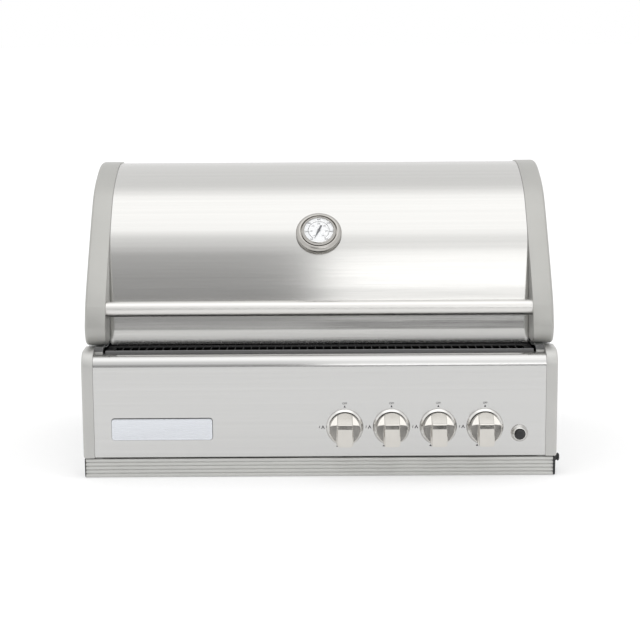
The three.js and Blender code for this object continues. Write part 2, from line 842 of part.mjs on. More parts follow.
// The skin's path moved into the lid by a distance, from a height on its lower front to its rear edge.
function innerPath(distance, bottom) {
  const path = offset(skinPath(2), -distance).filter((point) => point.y >= hingeHeight);
  const lean = Math.tan(THREE.MathUtils.degToRad(skinLean));
  return [at(path[0].x - lean * (path[0].y - bottom), bottom), ...path];
}

function lidLiner() {
  const half = lidCapInner - fitGap;
  const path = innerPath(linerGap, lidBottom + linerRaise);
  const liner = prismAlongX(folded(path, -linerSheet), [-half, half]);
  const reach = linerGap + overrun * 2;
  return cut(liner, onPanel(rodThrough(probeHoleRadius, -reach, overrun)));
}

// The caps' heel turns round the hinge, from the rear edge of an outline to the lower edge.
function heelArc(radius, back) {
  const start = Math.acos(Math.min(1, (back - hingeBack) / radius));
  return arc(hingeBack, hingeHeight, radius, -THREE.MathUtils.radToDeg(start), -90, 3);
}

function lidCap(side) {
  const foot = lidPoint(footShares);
  const pull = lidPoint(footPullShares);
  const nose = new THREE.QuadraticBezierCurve(foot, pull, lidPoint(noseShares)).getPoints(4);
  const curve = lidCurve(4);
  const outline = [...nose, ...curve, ...heelArc(hingeRise, curve.at(-1).x)];
  const outer = lidHalf;
  const body = prismAlongX(outline, mirrored([lidCapInner - overrun, outer], side), lidCapEdge);
  const cutOff = block(
    mirrored([lidCapInner - overrun * 2, lidCapInner], side),
    [0, lidFront + lidDepth + overrun],
    [lidBottom - overrun, lidBottom + lidRise + overrun],
  );
  const inside = innerPath(linerGap + linerSheet + linerSeat, lidBottom + lidCapHem);
  const pocketOutline = [...inside, ...heelArc(hingeRise - lidCapHem, inside.at(-1).x)];
  const pocket = prismAlongX(pocketOutline, mirrored([lidCapInner - overrun, outer - lidCapWall], side));
  const boss = rodAlongX(
    hingeBoss, mirrored([lidCapInner, outer - lidCapWall / 2], side), hingeBack, hingeHeight,
  );
  const pinBore = rodAlongX(
    hingePinRadius + fitGap, mirrored([lidCapInner - overrun, lidCapInner + hingePinReach + fitGap], side),
    hingeBack, hingeHeight, pinSides,
  );
  const socket = rodAlongX(
    handleRadius + fitGap, mirrored([lidCapInner - overrun, lidCapInner + handleSocket], side),
    lidFront + handleBack, lidBottom + handleRise,
  );
  return cut(join(cut(body, cutOff, pocket), boss), pinBore, socket);
}

function lidHandle() {
  const half = lidCapInner + handleSocket - fitGap;
  const y = lidFront + handleBack;
  const z = lidBottom + handleRise;
  const tube = rodAlongX(handleRadius, [-half, half], y, z);
  return cut(tube, rodAlongX(handleRadius - handleWall, [-half - overrun, half + overrun], y, z));
}

function hingePin(side) {
  const earInner = fireboxHalf - sheet - fitGap;
  const head = rodAlongX(
    hingePinHead, mirrored([earInner - hingePinHeadLength, earInner], side), hingeBack, hingeHeight, pinSides,
  );
  const shank = rodAlongX(
    hingePinRadius, mirrored([earInner - hingePinHeadLength, lidCapInner + hingePinReach], side),
    hingeBack, hingeHeight, pinSides,
  );
  return join(head, shank);
}

// Thermometer

// Frame on the lid's flat panel: its third axis points out of the panel.
function panelFrame() {
  const [foot, top] = panelEnds();
  const centre = foot.clone().lerp(top, thermometerAlong);
  const slope = Math.atan2(top.y - foot.y, top.x - foot.x);
  const turn = new THREE.Matrix4().makeRotationX(slope);
  return new THREE.Matrix4().makeTranslation(0, centre.x, centre.y).multiply(turn);
}

function onPanel(geometry) {
  return solidOf(geometry.applyMatrix4(panelFrame()));
}

function rodThrough(radius, from, to, rodSides = roundSides) {
  const geometry = new THREE.CylinderGeometry(radius, radius, to - from, rodSides);
  geometry.rotateX(Math.PI / 2);
  geometry.translate(0, 0, (from + to) / 2);
  return geometry;
}

function turnedOnPanel(profile, rodSides = roundSides) {
  const geometry = new THREE.LatheGeometry(profile, rodSides);
  geometry.rotateX(Math.PI / 2);
  return onPanel(geometry);
}

const caseFloor = fitGap + dialThickness;

function thermometerCase() {
  const well = thermometerDepth - glassThickness;
  const rim = thermometerRimShares.map(([out, up]) =>
    at(thermometerWindow + thermometerRing * out, thermometerDepth * up));
  return turnedOnPanel([
    at(0, -probeLength),
    at(probeRadius, -probeLength),
    at(probeRadius, fitGap),
    at(thermometerRadius, fitGap),
    ...rim,
    at(thermometerWindow, well),
    at(thermometerWindow, caseFloor),
    at(0, caseFloor),
  ], fineSides);
}

function thermometerDial() {
  return turnedOnPanel([
    at(0, caseFloor + fitGap),
    at(thermometerWindow - fitGap, caseFloor + fitGap),
    at(thermometerWindow - fitGap, caseFloor + fitGap + dialThickness),
    at(0, caseFloor + fitGap + dialThickness),
  ]);
}

function thermometerGlass() {
  const top = thermometerDepth - glassThickness;
  return turnedOnPanel([
    at(0, top - glassThickness),
    at(thermometerWindow - fitGap, top - glassThickness),
    at(thermometerWindow - fitGap, top),
    at(0, top),
  ]);
}

function thermometerNeedle() {
  const low = caseFloor + fitGap + dialThickness + needlePlay;
  const outline = [
    at(0, needleLength),
    at(-needleWidth / 2, 0),
    at(-needleWidth / 2, -needleTail * needleShoulderShare),
    at(0, -needleTail),
    at(needleWidth / 2, -needleTail * needleShoulderShare),
    at(needleWidth / 2, 0),
  ];
  const blade = slab(outline, needleThickness);
  blade.rotateZ(THREE.MathUtils.degToRad(-needleRestAngle));
  blade.translate(0, 0, low);
  const hub = onPanel(rodThrough(needleWidth, low - needlePlay + fitGap, low + needleThickness, smallSides));
  return join(onPanel(blade), hub);
}

// Body

function bodySide(side) {
  const outer = bodyHalf;
  const wall = block(
    mirrored([outer - sheet, outer], side), [baseFront, bodyBack], [0, rimTop],
  );
  const flange = block(
    mirrored([outer - sheet, outer + bodyFlange], side), [baseFront, bodyBack], [rimTop - sheet, rimTop],
  );
  const runner = block(
    mirrored([outer - sheet - trayRunner, outer], side), [baseFront, trayBack],
    [runnerTop() - sheet, runnerTop()],
  );
  return join(wall, flange, runner);
}

// The tray's rim slides on this height.
function runnerTop() {
  return trayTop - trayWall - fitGap;
}

function bodyRear() {
  const half = bodyHalf - sheet - fitGap;
  const path = [
    at(bodyBack - sheet, 0),
    at(bodyBack - sheet, rimTop - sheet),
    at(fireboxBack + sheet + fitGap, rimTop - sheet),
  ];
  return prismAlongX(folded(path, -sheet), [-half, half]);
}

function basePan() {
  const half = bodyHalf - sheet - fitGap;
  const path = [
    at(-half, basePanUpstand),
    at(-half, 0),
    at(half, 0),
    at(half, basePanUpstand),
  ];
  return prismAlongY(folded(path, sheet), [baseFront, bodyBack - sheet * 2 - fitGap]);
}

// The front wall with the vent strip that closes the gap behind the fascia.
function fireboxFrontWall() {
  const path = [
    at(ventFront, ventTop - ventLip),
    at(ventFront, ventTop),
    at(fireboxFront, ventTop),
    at(fireboxFront, fireboxBottom),
  ];
  const inner = fireboxHalf - sheet - fitGap;
  const strip = prismAlongX(folded(path.slice(0, 3), -sheet), [-ventHalf, ventHalf]);
  const wall = block(
    [-inner, inner], [fireboxFront - sheet, fireboxFront], [fireboxBottom, ventTop - sheet / 2],
  );
  const slots = [];
  const count = Math.floor((ventHalf * 2 - ventSlotPitch) / ventSlotPitch);
  for (let i = 0; i < count; i += 1) {
    const x = (i - (count - 1) / 2) * ventSlotPitch;
    const front = ventFront + ventSlotFront;
    slots.push(block(
      [x - ventSlotWidth / 2, x + ventSlotWidth / 2], [front, front + ventSlotLength],
      [ventTop - overrun, ventTop + overrun],
    ));
  }
  const rails = [grateLedgeTop, tamerLedgeTop].map((top) =>
    block([-inner, inner], [fireboxFront - sheet / 2, fireboxFront + ledge], [top - sheet, top]));
  const lip = block(
    [-inner, inner], [fireboxFront - sheet / 2, fireboxFront + fireboxLip],
    [fireboxBottom, fireboxBottom + sheet],
  );
  const necks = burnerPlaces().map((x) =>
    rodAlongY(burnerNeckRadius + fitGap, x, [fireboxFront - overrun, fireboxFront + overrun], burnerHeight));
  return cut(join(strip, wall, rails, lip), slots, necks);
}

// The rear wall rises inside the lid and carries the hinge ears.
function fireboxRearWall() {
  const inner = fireboxHalf - sheet - fitGap;
  const top = hingeHeight + rearWallRise;
  const wall = block([-fireboxHalf, fireboxHalf], [fireboxBack, fireboxBack + sheet], [fireboxBottom, top]);
  const rails = [grateLedgeTop, tamerLedgeTop].map((railTop) =>
    block([-inner, inner], [fireboxBack - ledge, fireboxBack + sheet / 2], [railTop - sheet, railTop]));
  const lip = block(
    [-inner, inner], [fireboxBack - fireboxLip, fireboxBack + sheet / 2],
    [fireboxBottom, fireboxBottom + sheet],
  );
  const ears = sides.map(([, side]) => {
    const outline = [
      at(fireboxBack, hingeHeight - hingeEar),
      ...arc(hingeBack, hingeHeight, hingeEar, -90, 90),
      at(fireboxBack, hingeHeight + hingeEar),
    ];
    return prismAlongX(outline, mirrored([fireboxHalf - sheet, fireboxHalf], side));
  });
  const pinHole = rodAlongX(
    hingePinRadius + fitGap, [-fireboxHalf - overrun, fireboxHalf + overrun],
    hingeBack, hingeHeight, pinSides,
  );
  return cut(join(wall, rails, lip, ears), pinHole);
}

// A side wall hangs on the body's rim by its flange, which runs forward to a pad for the lid.
function fireboxSide(side) {
  const flangeBottom = rimTop + fitGap;
  const flangeTop = flangeBottom + sheet;
  const back = fireboxBack - fitGap;
  const wall = block(
    mirrored([fireboxHalf - sheet, fireboxHalf], side), [fireboxFront + fitGap, back],
    [fireboxBottom, flangeTop],
  );
  const lip = block(
    mirrored([fireboxHalf - fireboxLip, fireboxHalf], side),
    [fireboxFront + fireboxLip + fitGap, back - fireboxLip], [fireboxBottom, fireboxBottom + sheet],
  );
  const flange = block(
    mirrored([fireboxHalf - sheet, bodyHalf + flangeOver], side), [baseFront + fitGap, back],
    [flangeBottom, flangeTop],
  );
  const corner = block(
    mirrored([fireboxHalf - sheet - overrun, ventHalf + fitGap], side),
    [baseFront - overrun, lidFront + skinSetback + skinHem + skinClearance],
    [ventTop - overrun, flangeTop + overrun],
  );
  const restOuter = fasciaWidth / 2 - fitGap;
  const restFront = ventFront + fitGap;
  const arm = block(
    mirrored([restOuter - restWidth, restOuter], side), [restFront, baseFront + overrun],
    [flangeBottom, flangeTop],
  );
  const pad = prismAlongY(
    roundedRectangle(
      mirrored([restOuter - restWidth, restOuter], side), [flangeBottom, lidBottom - fitGap], sheet,
    ),
    [restFront, restFront + restLength],
  );
  return join(cut(join(wall, lip, flange), corner), arm, pad);
}

// Burners and flame tamers

function burnerPlaces() {
  return Array.from({ length: burnerCount }, (_, i) => (i - (burnerCount - 1) / 2) * burnerPitch);
}

function burner(x) {
  const end = fireboxBack - fitGap;
  const inlet = fireboxFront - burnerInletLead;
  const neckEnd = fireboxFront + burnerNeckLength;
  const tube = turnedBack([
    at(0, inlet),
    at(burnerNeckRadius, inlet),
    at(burnerNeckRadius, neckEnd - burnerNeckLength / 2),
    at(burnerRadius, neckEnd),
    at(burnerRadius, end),
    at(0, end),
  ], x, burnerHeight, pinSides);
  const bore = rodAlongY(
    burnerNeckRadius - burnerWall, x, [inlet - overrun, end - burnerWall], burnerHeight, pinSides,
  );
  return cut(tube, bore);
}

function flameTamer(x) {
  const low = tamerLedgeTop + fitGap;
  const path = [
    at(x + tamerWidth / 2, low),
    at(x, low + tamerRise),
    at(x - tamerWidth / 2, low),
  ];
  return prismAlongY(folded(path, -sheet), [fireboxFront + fitGap, fireboxBack - fitGap]);
}

// Cooking surfaces

// Left and right edges of one of the three surfaces that lie side by side.
function grateSpan(index) {
  const inner = fireboxHalf - sheet - fitGap;
  const width = (inner * 2 - grateGap * (grateCount - 1)) / grateCount;
  const left = -inner + index * (width + grateGap);
  return [left, left + width];
}

const grateDepth = [fireboxFront + fitGap, fireboxBack - fitGap];
const grateBottom = grateLedgeTop + fitGap;

function grate(index) {
  const [left, right] = grateSpan(index);
  const top = grateBottom + grateThickness;
  const rim = cut(
    block([left, right], grateDepth, [grateBottom, top]),
    block(
      [left + grateRim, right - grateRim], [grateDepth[0] + grateRim, grateDepth[1] - grateRim],
      [grateBottom - overrun, top + overrun],
    ),
  );
  const inside = right - left - grateRim * 2;
  const count = Math.floor(inside / grateBarPitch);
  const pitch = inside / (count + 1);
  const bars = Array.from({ length: count }, (_, i) => {
    const x = left + grateRim + pitch * (i + 1);
    return block(
      [x - grateBar / 2, x + grateBar / 2],
      [grateDepth[0] + grateRim / 2, grateDepth[1] - grateRim / 2], [grateBottom, top],
    );
  });
  const middle = (grateDepth[0] + grateDepth[1]) / 2;
  const bridge = block(
    [left + grateRim / 2, right - grateRim / 2], [middle - grateBridge / 2, middle + grateBridge / 2],
    [grateBottom, grateBottom + grateThickness / 2],
  );
  return join(rim, bars, bridge);
}

function hotplate(index) {
  const [left, right] = grateSpan(index);
  const top = grateBottom + grateThickness;
  const tray = block([left, right], grateDepth, [grateBottom, top]);
  const basin = block(
    [left + plateWall, right - plateWall], [grateDepth[0] + plateWall, grateDepth[1] - plateWall],
    [grateBottom + plateThickness, top + overrun],
  );
  const middle = (left + right) / 2;
  const slotFront = grateDepth[0] + plateSlotInset;
  const slot = block(
    [middle - plateSlotLength / 2, middle + plateSlotLength / 2], [slotFront, slotFront + plateSlotWidth],
    [grateBottom - overrun, top + overrun],
  );
  return cut(tray, basin, slot);
}

function warmingRack() {
  const height = rimTop + rackRise;
  const back = fireboxBack - rackBackGap;
  const front = back - rackDepth;
  const foot = rimTop + fitGap + sheet + fitGap;
  const half = lidCapInner - rackCapGap - rackWire;
  const wires = Array.from({ length: rackWires }, (_, i) => {
    const y = front + rackBend + ((rackDepth - rackBend * 2) * i) / (rackWires - 1);
    return rodAlongX(rackRod, [-half, half], y, height, rackRodSides);
  });
  const legs = [-half, half].map((x) => bentRod(
    [spot(x, front, foot), spot(x, front, height), spot(x, back, height), spot(x, back, foot)],
    rackWire, rackBend,
  ));
  return join(wires, legs);
}

// Drip tray

function dripTray() {
  const front = railThickness + fitGap;
  const body = block([-trayHalf + trayRim, trayHalf - trayRim], [front, trayBack], [trayFloor, trayTop]);
  const rim = block([-trayHalf, trayHalf], [front, trayBack], [trayTop - trayWall, trayTop]);
  const basin = block(
    [-trayHalf + trayRim + trayWall, trayHalf - trayRim - trayWall], [front + trayWall, trayBack - trayWall],
    [trayFloor + trayWall, trayTop + overrun],
  );
  return cut(join(body, rim), basin);
}

function trayFront() {
  const pitch = railHeight / railRibs;
  const groove = pitch * railGrooveShare;
  const outline = [at(railThickness, railBottom)];
  for (let i = 0; i < railRibs; i += 1) {
    const low = railBottom + pitch * i + (pitch - groove) / 2;
    outline.push(at(i ? 0 : railGrooveDepth, railBottom + pitch * i));
    outline.push(at(0, low));
    outline.push(at(railGrooveDepth, low + groove * railSlopeShare));
    outline.push(at(railGrooveDepth, low + groove * (1 - railSlopeShare)));
    outline.push(at(0, low + groove));
  }
  outline.push(at(0, railBottom + railHeight));
  outline.push(at(railThickness, railBottom + railHeight));
  return prismAlongX(outline, [-railHalf, railHalf]);
}

function trayEndCap(side) {
  const top = railBottom + railHeight;
  const front = -railCapProud;
  const outline = [
    at(railThickness, top),
    at(front, top),
    ...arc(railThickness / 2, railBottom + railThickness / 2, railThickness / 2 + railCapProud, 180, 270, 4),
    at(railThickness, railBottom - railCapProud),
  ];
  const inner = railHalf + fitGap;
  return prismAlongX(outline, mirrored([inner, inner + railCapThickness], side));
}

// Assembly

const burners = burnerPlaces();
const feedLevels = burners.map((x, i) => Math.min(1, 1 - feedStepShare * (burnerCount - 2 - i)));

addPiece("fascia_panel", fasciaPanel(), brushedSteel);
addPiece("badge_plate", badgePlate(), polishedSteel);
knobPlaces().forEach((x, i) => {
  addPiece(`knob_${i + 1}`, knob(x), polishedSteel);
  addPiece(`knob_bezel_${i + 1}`, knobBezel(x), polishedSteel);
  addPiece(`valve_stem_${i + 1}`, valveStem(x), brass);
  addPiece(`valve_body_${i + 1}`, valveBody(x, burners[i], feedLevels[i]), brass);
  addPiece(`burner_${i + 1}`, burner(burners[i]), galvanisedSteel);
  addPiece(`flame_tamer_${i + 1}`, flameTamer(burners[i]), galvanisedSteel);
});
addPiece("gas_manifold", gasManifold(), galvanisedSteel);
addPiece("gas_inlet_cap", gasInletCap(), blackPlastic);
addPiece("igniter_housing", igniterHousing(), polishedSteel);
addPiece("igniter_button", igniterButton(), blackPlastic);

addPiece("lid_skin", lidSkin(), brushedSteel);
addPiece("lid_liner", lidLiner(), galvanisedSteel);
addPiece("lid_handle", lidHandle(), polishedSteel);
addPiece("thermometer_case", thermometerCase(), polishedSteel);
addPiece("thermometer_dial", thermometerDial(), whiteDial);
addPiece("thermometer_needle", thermometerNeedle(), darkNeedle);
addPiece("thermometer_glass", thermometerGlass(), clearGlass);

for (const [name, side] of sides) {
  addPiece(`fascia_cap_${name}`, fasciaCap(side), satinCasting);
  addPiece(`lid_cap_${name}`, lidCap(side), satinCasting);
  addPiece(`hinge_pin_${name}`, hingePin(side), polishedSteel);
  addPiece(`body_side_${name}`, bodySide(side), galvanisedSteel);
  addPiece(`firebox_${name}`, fireboxSide(side), galvanisedSteel);
  addPiece(`tray_end_cap_${name}`, trayEndCap(side), blackPlastic);
}

addPiece("body_rear", bodyRear(), galvanisedSteel);
addPiece("base_pan", basePan(), galvanisedSteel);
addPiece("firebox_front", fireboxFrontWall(), blackEnamel);
addPiece("firebox_rear", fireboxRearWall(), galvanisedSteel);
addPiece("grate_left", grate(0), castIron);
addPiece("grate_middle", grate(1), castIron);
addPiece("hotplate", hotplate(2), castIron);
addPiece("warming_rack", warmingRack(), polishedSteel);
addPiece("drip_tray", dripTray(), galvanisedSteel);
addPiece("tray_front", trayFront(), satinCasting);

export default grill;
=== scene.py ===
"""Looks of the built-in gas grill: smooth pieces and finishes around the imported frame.

Sizes here are in millimetres, along X, back from the fascia's front face and up from the base,
as in the part's own source. place() turns them into the row frame's metres.
"""

import json
import math

import bmesh
import bpy
from mathutils import Matrix, Vector


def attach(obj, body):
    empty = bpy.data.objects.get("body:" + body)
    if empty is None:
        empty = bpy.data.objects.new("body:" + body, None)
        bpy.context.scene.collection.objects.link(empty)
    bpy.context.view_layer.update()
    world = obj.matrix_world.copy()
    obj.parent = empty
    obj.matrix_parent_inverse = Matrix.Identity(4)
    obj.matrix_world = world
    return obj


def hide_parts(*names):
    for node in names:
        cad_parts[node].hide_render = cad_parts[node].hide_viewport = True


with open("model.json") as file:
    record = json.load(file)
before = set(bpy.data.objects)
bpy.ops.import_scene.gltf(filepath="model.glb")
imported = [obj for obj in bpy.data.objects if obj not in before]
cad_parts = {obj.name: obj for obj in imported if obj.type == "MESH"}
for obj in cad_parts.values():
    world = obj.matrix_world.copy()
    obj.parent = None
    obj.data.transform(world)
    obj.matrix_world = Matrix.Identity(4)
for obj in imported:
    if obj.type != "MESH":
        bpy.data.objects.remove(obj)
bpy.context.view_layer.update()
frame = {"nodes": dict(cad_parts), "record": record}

MM = 0.001
MIDDLE = 281.15  # the origin lies this far behind the fascia's front face
SIDES = (("left", -1), ("right", 1))
QUARTER = math.pi / 2


def place(x, back, up):
    return Vector((x, back - MIDDLE, up)) * MM


def local_frame(x, back, up, angle, axis):
    """Local millimetres to the row frame, from a place and turned about one axis there."""
    return Matrix.Translation(place(x, back, up)) @ Matrix.Rotation(angle, 4, axis) @ Matrix.Scale(MM, 4)


def fascia_frame(x, up):
    """Local millimetres to the row frame, with local Z out of the fascia towards the viewer."""
    return local_frame(x, 0.0, up, QUARTER, "X")


# Curves

SHARPEST_MITRE = 0.3


def spline(points, steps):
    """Smooth curve through points, with steps stations to a span."""
    path = []
    for i in range(len(points) - 1):
        p0, p1 = points[max(i - 1, 0)], points[i]
        p2, p3 = points[i + 1], points[min(i + 2, len(points) - 1)]
        for k in range(steps):
            t = k / steps
            path.append(tuple(
                0.5 * (
                    2 * b + (c - a) * t + (2 * a - 5 * b + 4 * c - d) * t * t
                    + (3 * b - a - 3 * c + d) * t ** 3
                )
                for a, b, c, d in zip(p0, p1, p2, p3)
            ))
    return path + [tuple(points[-1])]


def arc(centre_a, centre_b, radius, start, end, steps):
    angles = [math.radians(start + (end - start) * i / steps) for i in range(steps + 1)]
    return [(centre_a + radius * math.cos(a), centre_b + radius * math.sin(a)) for a in angles]


def bezier(a, b, c, steps):
    return [
        tuple((1 - t) ** 2 * p + 2 * t * (1 - t) * q + t * t * r for p, q, r in zip(a, b, c))
        for t in (i / steps for i in range(steps + 1))
    ]


def offset(path, distance, closed=False):
    """The path moved sideways to its left, with mitred corners."""
    moved = []
    count = len(path)
    for i, point in enumerate(path):
        before = path[i - 1] if closed or i else None
        after = path[(i + 1) % count] if closed or i < count - 1 else None
        first = Vector(point) - Vector(before) if before else Vector(after) - Vector(point)
        second = Vector(after) - Vector(point) if after else first
        first, second = first.normalized(), second.normalized()
        normal = Vector((-first.y - second.y, first.x + second.x)).normalized()
        reach = distance / max(SHARPEST_MITRE, normal.dot(Vector((-first.y, first.x))))
        moved.append(tuple(Vector(point) + normal * reach))
    return moved


# Meshes

SMOOTH_ANGLE = 35.0  # degrees up to which an edge is shaded smooth
WELD = 1e-6  # metres within which two points become one
CAD_WELD, CAD_FLAT_ANGLE = 2e-5, 0.5
SOFT_ANGLE, SOFT_SEGMENTS = 30.0, 2


def mesh_object(name, vertices, faces, smooth_angle=SMOOTH_ANGLE):
    mesh = bpy.data.meshes.new(name)
    mesh.from_pydata([tuple(v) for v in vertices], [], faces)
    return from_mesh(name, mesh, smooth_angle)


def from_mesh(name, mesh, smooth_angle=SMOOTH_ANGLE):
    """An object in the scene with outward faces, smooth but for its sharp edges."""
    bm = bmesh.new()
    bm.from_mesh(mesh)
    bmesh.ops.remove_doubles(bm, verts=bm.verts, dist=WELD)
    bmesh.ops.recalc_face_normals(bm, faces=bm.faces)
    for face in bm.faces:
        face.smooth = True
    bm.to_mesh(mesh)
    bm.free()
    mesh.set_sharp_from_angle(angle=math.radians(smooth_angle))
    obj = bpy.data.objects.new(name, mesh)
    bpy.context.scene.collection.objects.link(obj)
    return obj


def band(start, count):
    """Faces between a ring of points, the first of them number start, and the next ring."""
    faces = []
    for k in range(count):
        n = (k + 1) % count
        faces.append((start + k, start + n, start + count + n, start + count + k))
    return faces


def loft(name, rings, smooth_angle=SMOOTH_ANGLE, ends=True):
    """A body through rings of as many points each, closed by a face at both ends if asked."""
    count, last = len(rings[0]), (len(rings) - 1) * len(rings[0])
    faces = [face for start in range(0, last, count) for face in band(start, count)]
    if ends:
        faces.append(tuple(range(count)))
        faces.append(tuple(range(last, last + count)))
    return mesh_object(name, [v for ring in rings for v in ring], faces, smooth_angle)


def prism(name, outline, x0, x1, round0=0.0, round1=0.0, smooth_angle=SMOOTH_ANGLE, steps=5):
    """An outline of points (back, up) drawn out along X, with its edges at both ends rounded."""
    area = sum(a[0] * b[1] - b[0] * a[1] for a, b in zip(outline, outline[1:] + outline[:1]))
    inward = 1 if area > 0 else -1
    direction = 1 if x1 > x0 else -1
    sections = []
    for x, radius, sign in ((x0, round0, 1), (x1, round1, -1)):
        if radius <= 0:
            sections.append((x, 0.0))
            continue
        stations = []
        for i in range(steps + 1):
            turn = math.radians(90 * i / steps)
            along = x + direction * sign * radius * (1 - math.cos(turn))
            stations.append((along, radius * (1 - math.sin(turn))))
        sections.extend(stations if sign > 0 else stations[::-1])
    rings = []
    for x, inset in sections:
        ring = offset(outline, inward * inset, closed=True) if inset > WELD else outline
        rings.append([place(x, b, z) for b, z in ring])
    return loft(name, rings, smooth_angle)


def slab(name, front, back, low, high, x0, x1):
    """A box between two depths, two heights and two places along X."""
    return prism(name, [(front, low), (front, high), (back, high), (back, low)], x0, x1)


def lathe(name, profile, matrix, segments=96, smooth_angle=30.0):
    """A profile of points (radius, height) turned round the matrix's own Z axis."""
    turns = [math.tau * i / segments for i in range(segments)]
    rings = [
        [matrix @ Vector((radius * math.cos(turn), radius * math.sin(turn), height)) for turn in turns]
        for radius, height in profile
    ]
    return loft(name, rings, smooth_angle, ends=False)


def apply_modifiers(obj, spent=()):
    """Replaces the object's mesh by the one that its modifiers give."""
    bpy.context.view_layer.update()
    graph = bpy.context.evaluated_depsgraph_get()
    mesh = bpy.data.meshes.new_from_object(obj.evaluated_get(graph))
    obj.modifiers.clear()
    obj.data = mesh
    for tool in spent:
        bpy.data.objects.remove(tool)


def boolean(obj, operation, *tools):
    """Adds tools to obj by UNION or takes them away by DIFFERENCE, and deletes them."""
    for tool in tools:
        modifier = obj.modifiers.new("boolean", "BOOLEAN")
        modifier.operation = operation
        modifier.solver = "EXACT"
        modifier.object = tool
    apply_modifiers(obj, tools)


def soften(obj, width):
    """Rounds the sharp edges by a width in millimetres."""
    modifier = obj.modifiers.new("edges", "BEVEL")
    modifier.width = width * MM
    modifier.segments = SOFT_SEGMENTS
    modifier.limit_method = "ANGLE"
    modifier.angle_limit = math.radians(SOFT_ANGLE)
    modifier.harden_normals = True
    return obj


def softened(node, width):
    """A copy of a CAD node's solid with rounded edges, to stand for the node."""
    name = node + "_soft"
    bm = bmesh.new()
    bm.from_mesh(frame["nodes"][node].data)
    bmesh.ops.remove_doubles(bm, verts=bm.verts, dist=CAD_WELD)
    bmesh.ops.dissolve_limit(bm, angle_limit=math.radians(CAD_FLAT_ANGLE), verts=bm.verts, edges=bm.edges)
    mesh = bpy.data.meshes.new(name)
    bm.to_mesh(mesh)
    bm.free()
    return soften(from_mesh(name, mesh, SOFT_ANGLE), width)


def merged(name, meshes):
    """One object from several meshes."""
    bm = bmesh.new()
    for mesh in meshes:
        bm.from_mesh(mesh)
    whole = bpy.data.meshes.new(name)
    bm.to_mesh(whole)
    bm.free()
    return from_mesh(name, whole, 30)


def dress(obj, body, slot, material, *nodes):
    """Puts a piece on its body with its finish, in place of CAD nodes."""
    obj.data.materials.clear()
    obj.data.materials.append(material)
    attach(obj, body)
    if nodes:
        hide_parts(*nodes)


# Print: flat shapes and lettering just above a surface

PRINT_HEIGHT, PRINT_THICKNESS = 0.02, 0.05
LETTER_WEIGHT_SHARE = 0.012


def flat_mesh(name, outlines, height, thickness, matrix):
    """Thin flat shapes on one plane, each from an outline of points."""
    vertices, faces = [], []
    for outline in outlines:
        start, count = len(vertices), len(outline)
        for level in (height, height + thickness):
            vertices.extend(matrix @ Vector((a, b, level)) for a, b in outline)
        faces.append(tuple(range(start, start + count)))
        faces.append(tuple(range(start + count, start + 2 * count)))
        faces.extend(band(start, count))
    return mesh_object(name, vertices, faces)


def words(text, size, matrix):
    """Lettering as a thin mesh, its middle on the matrix's origin."""
    curve = bpy.data.curves.new(text, "FONT")
    curve.body = text
    curve.size = size
    curve.align_x = "CENTER"
    curve.align_y = "CENTER"
    curve.extrude = PRINT_THICKNESS
    curve.offset = LETTER_WEIGHT_SHARE * size
    curve.resolution_u = 3
    source = bpy.data.objects.new(text, curve)
    bpy.context.scene.collection.objects.link(source)
    bpy.context.view_layer.update()
    mesh = bpy.data.meshes.new_from_object(source.evaluated_get(bpy.context.evaluated_depsgraph_get()))
    bpy.data.objects.remove(source)
    mesh.transform(matrix)
    return mesh


# Materials

NOISE_LOW, NOISE_HIGH = 0.3, 0.7  # where most values of a noise texture lie
MIX_FACTOR, MIX_A, MIX_B, MIX_RESULT = 0, 6, 7, 2  # sockets of a mix node that mixes colours


def math_node(tree, operation, *values):
    """What a math node makes of sockets and numbers."""
    made = tree.nodes.new("ShaderNodeMath")
    made.operation = operation
    for socket, value in zip(made.inputs, values):
        if isinstance(value, (int, float)):
            socket.default_value = value
        else:
            tree.links.new(value, socket)
    return made.outputs[0]


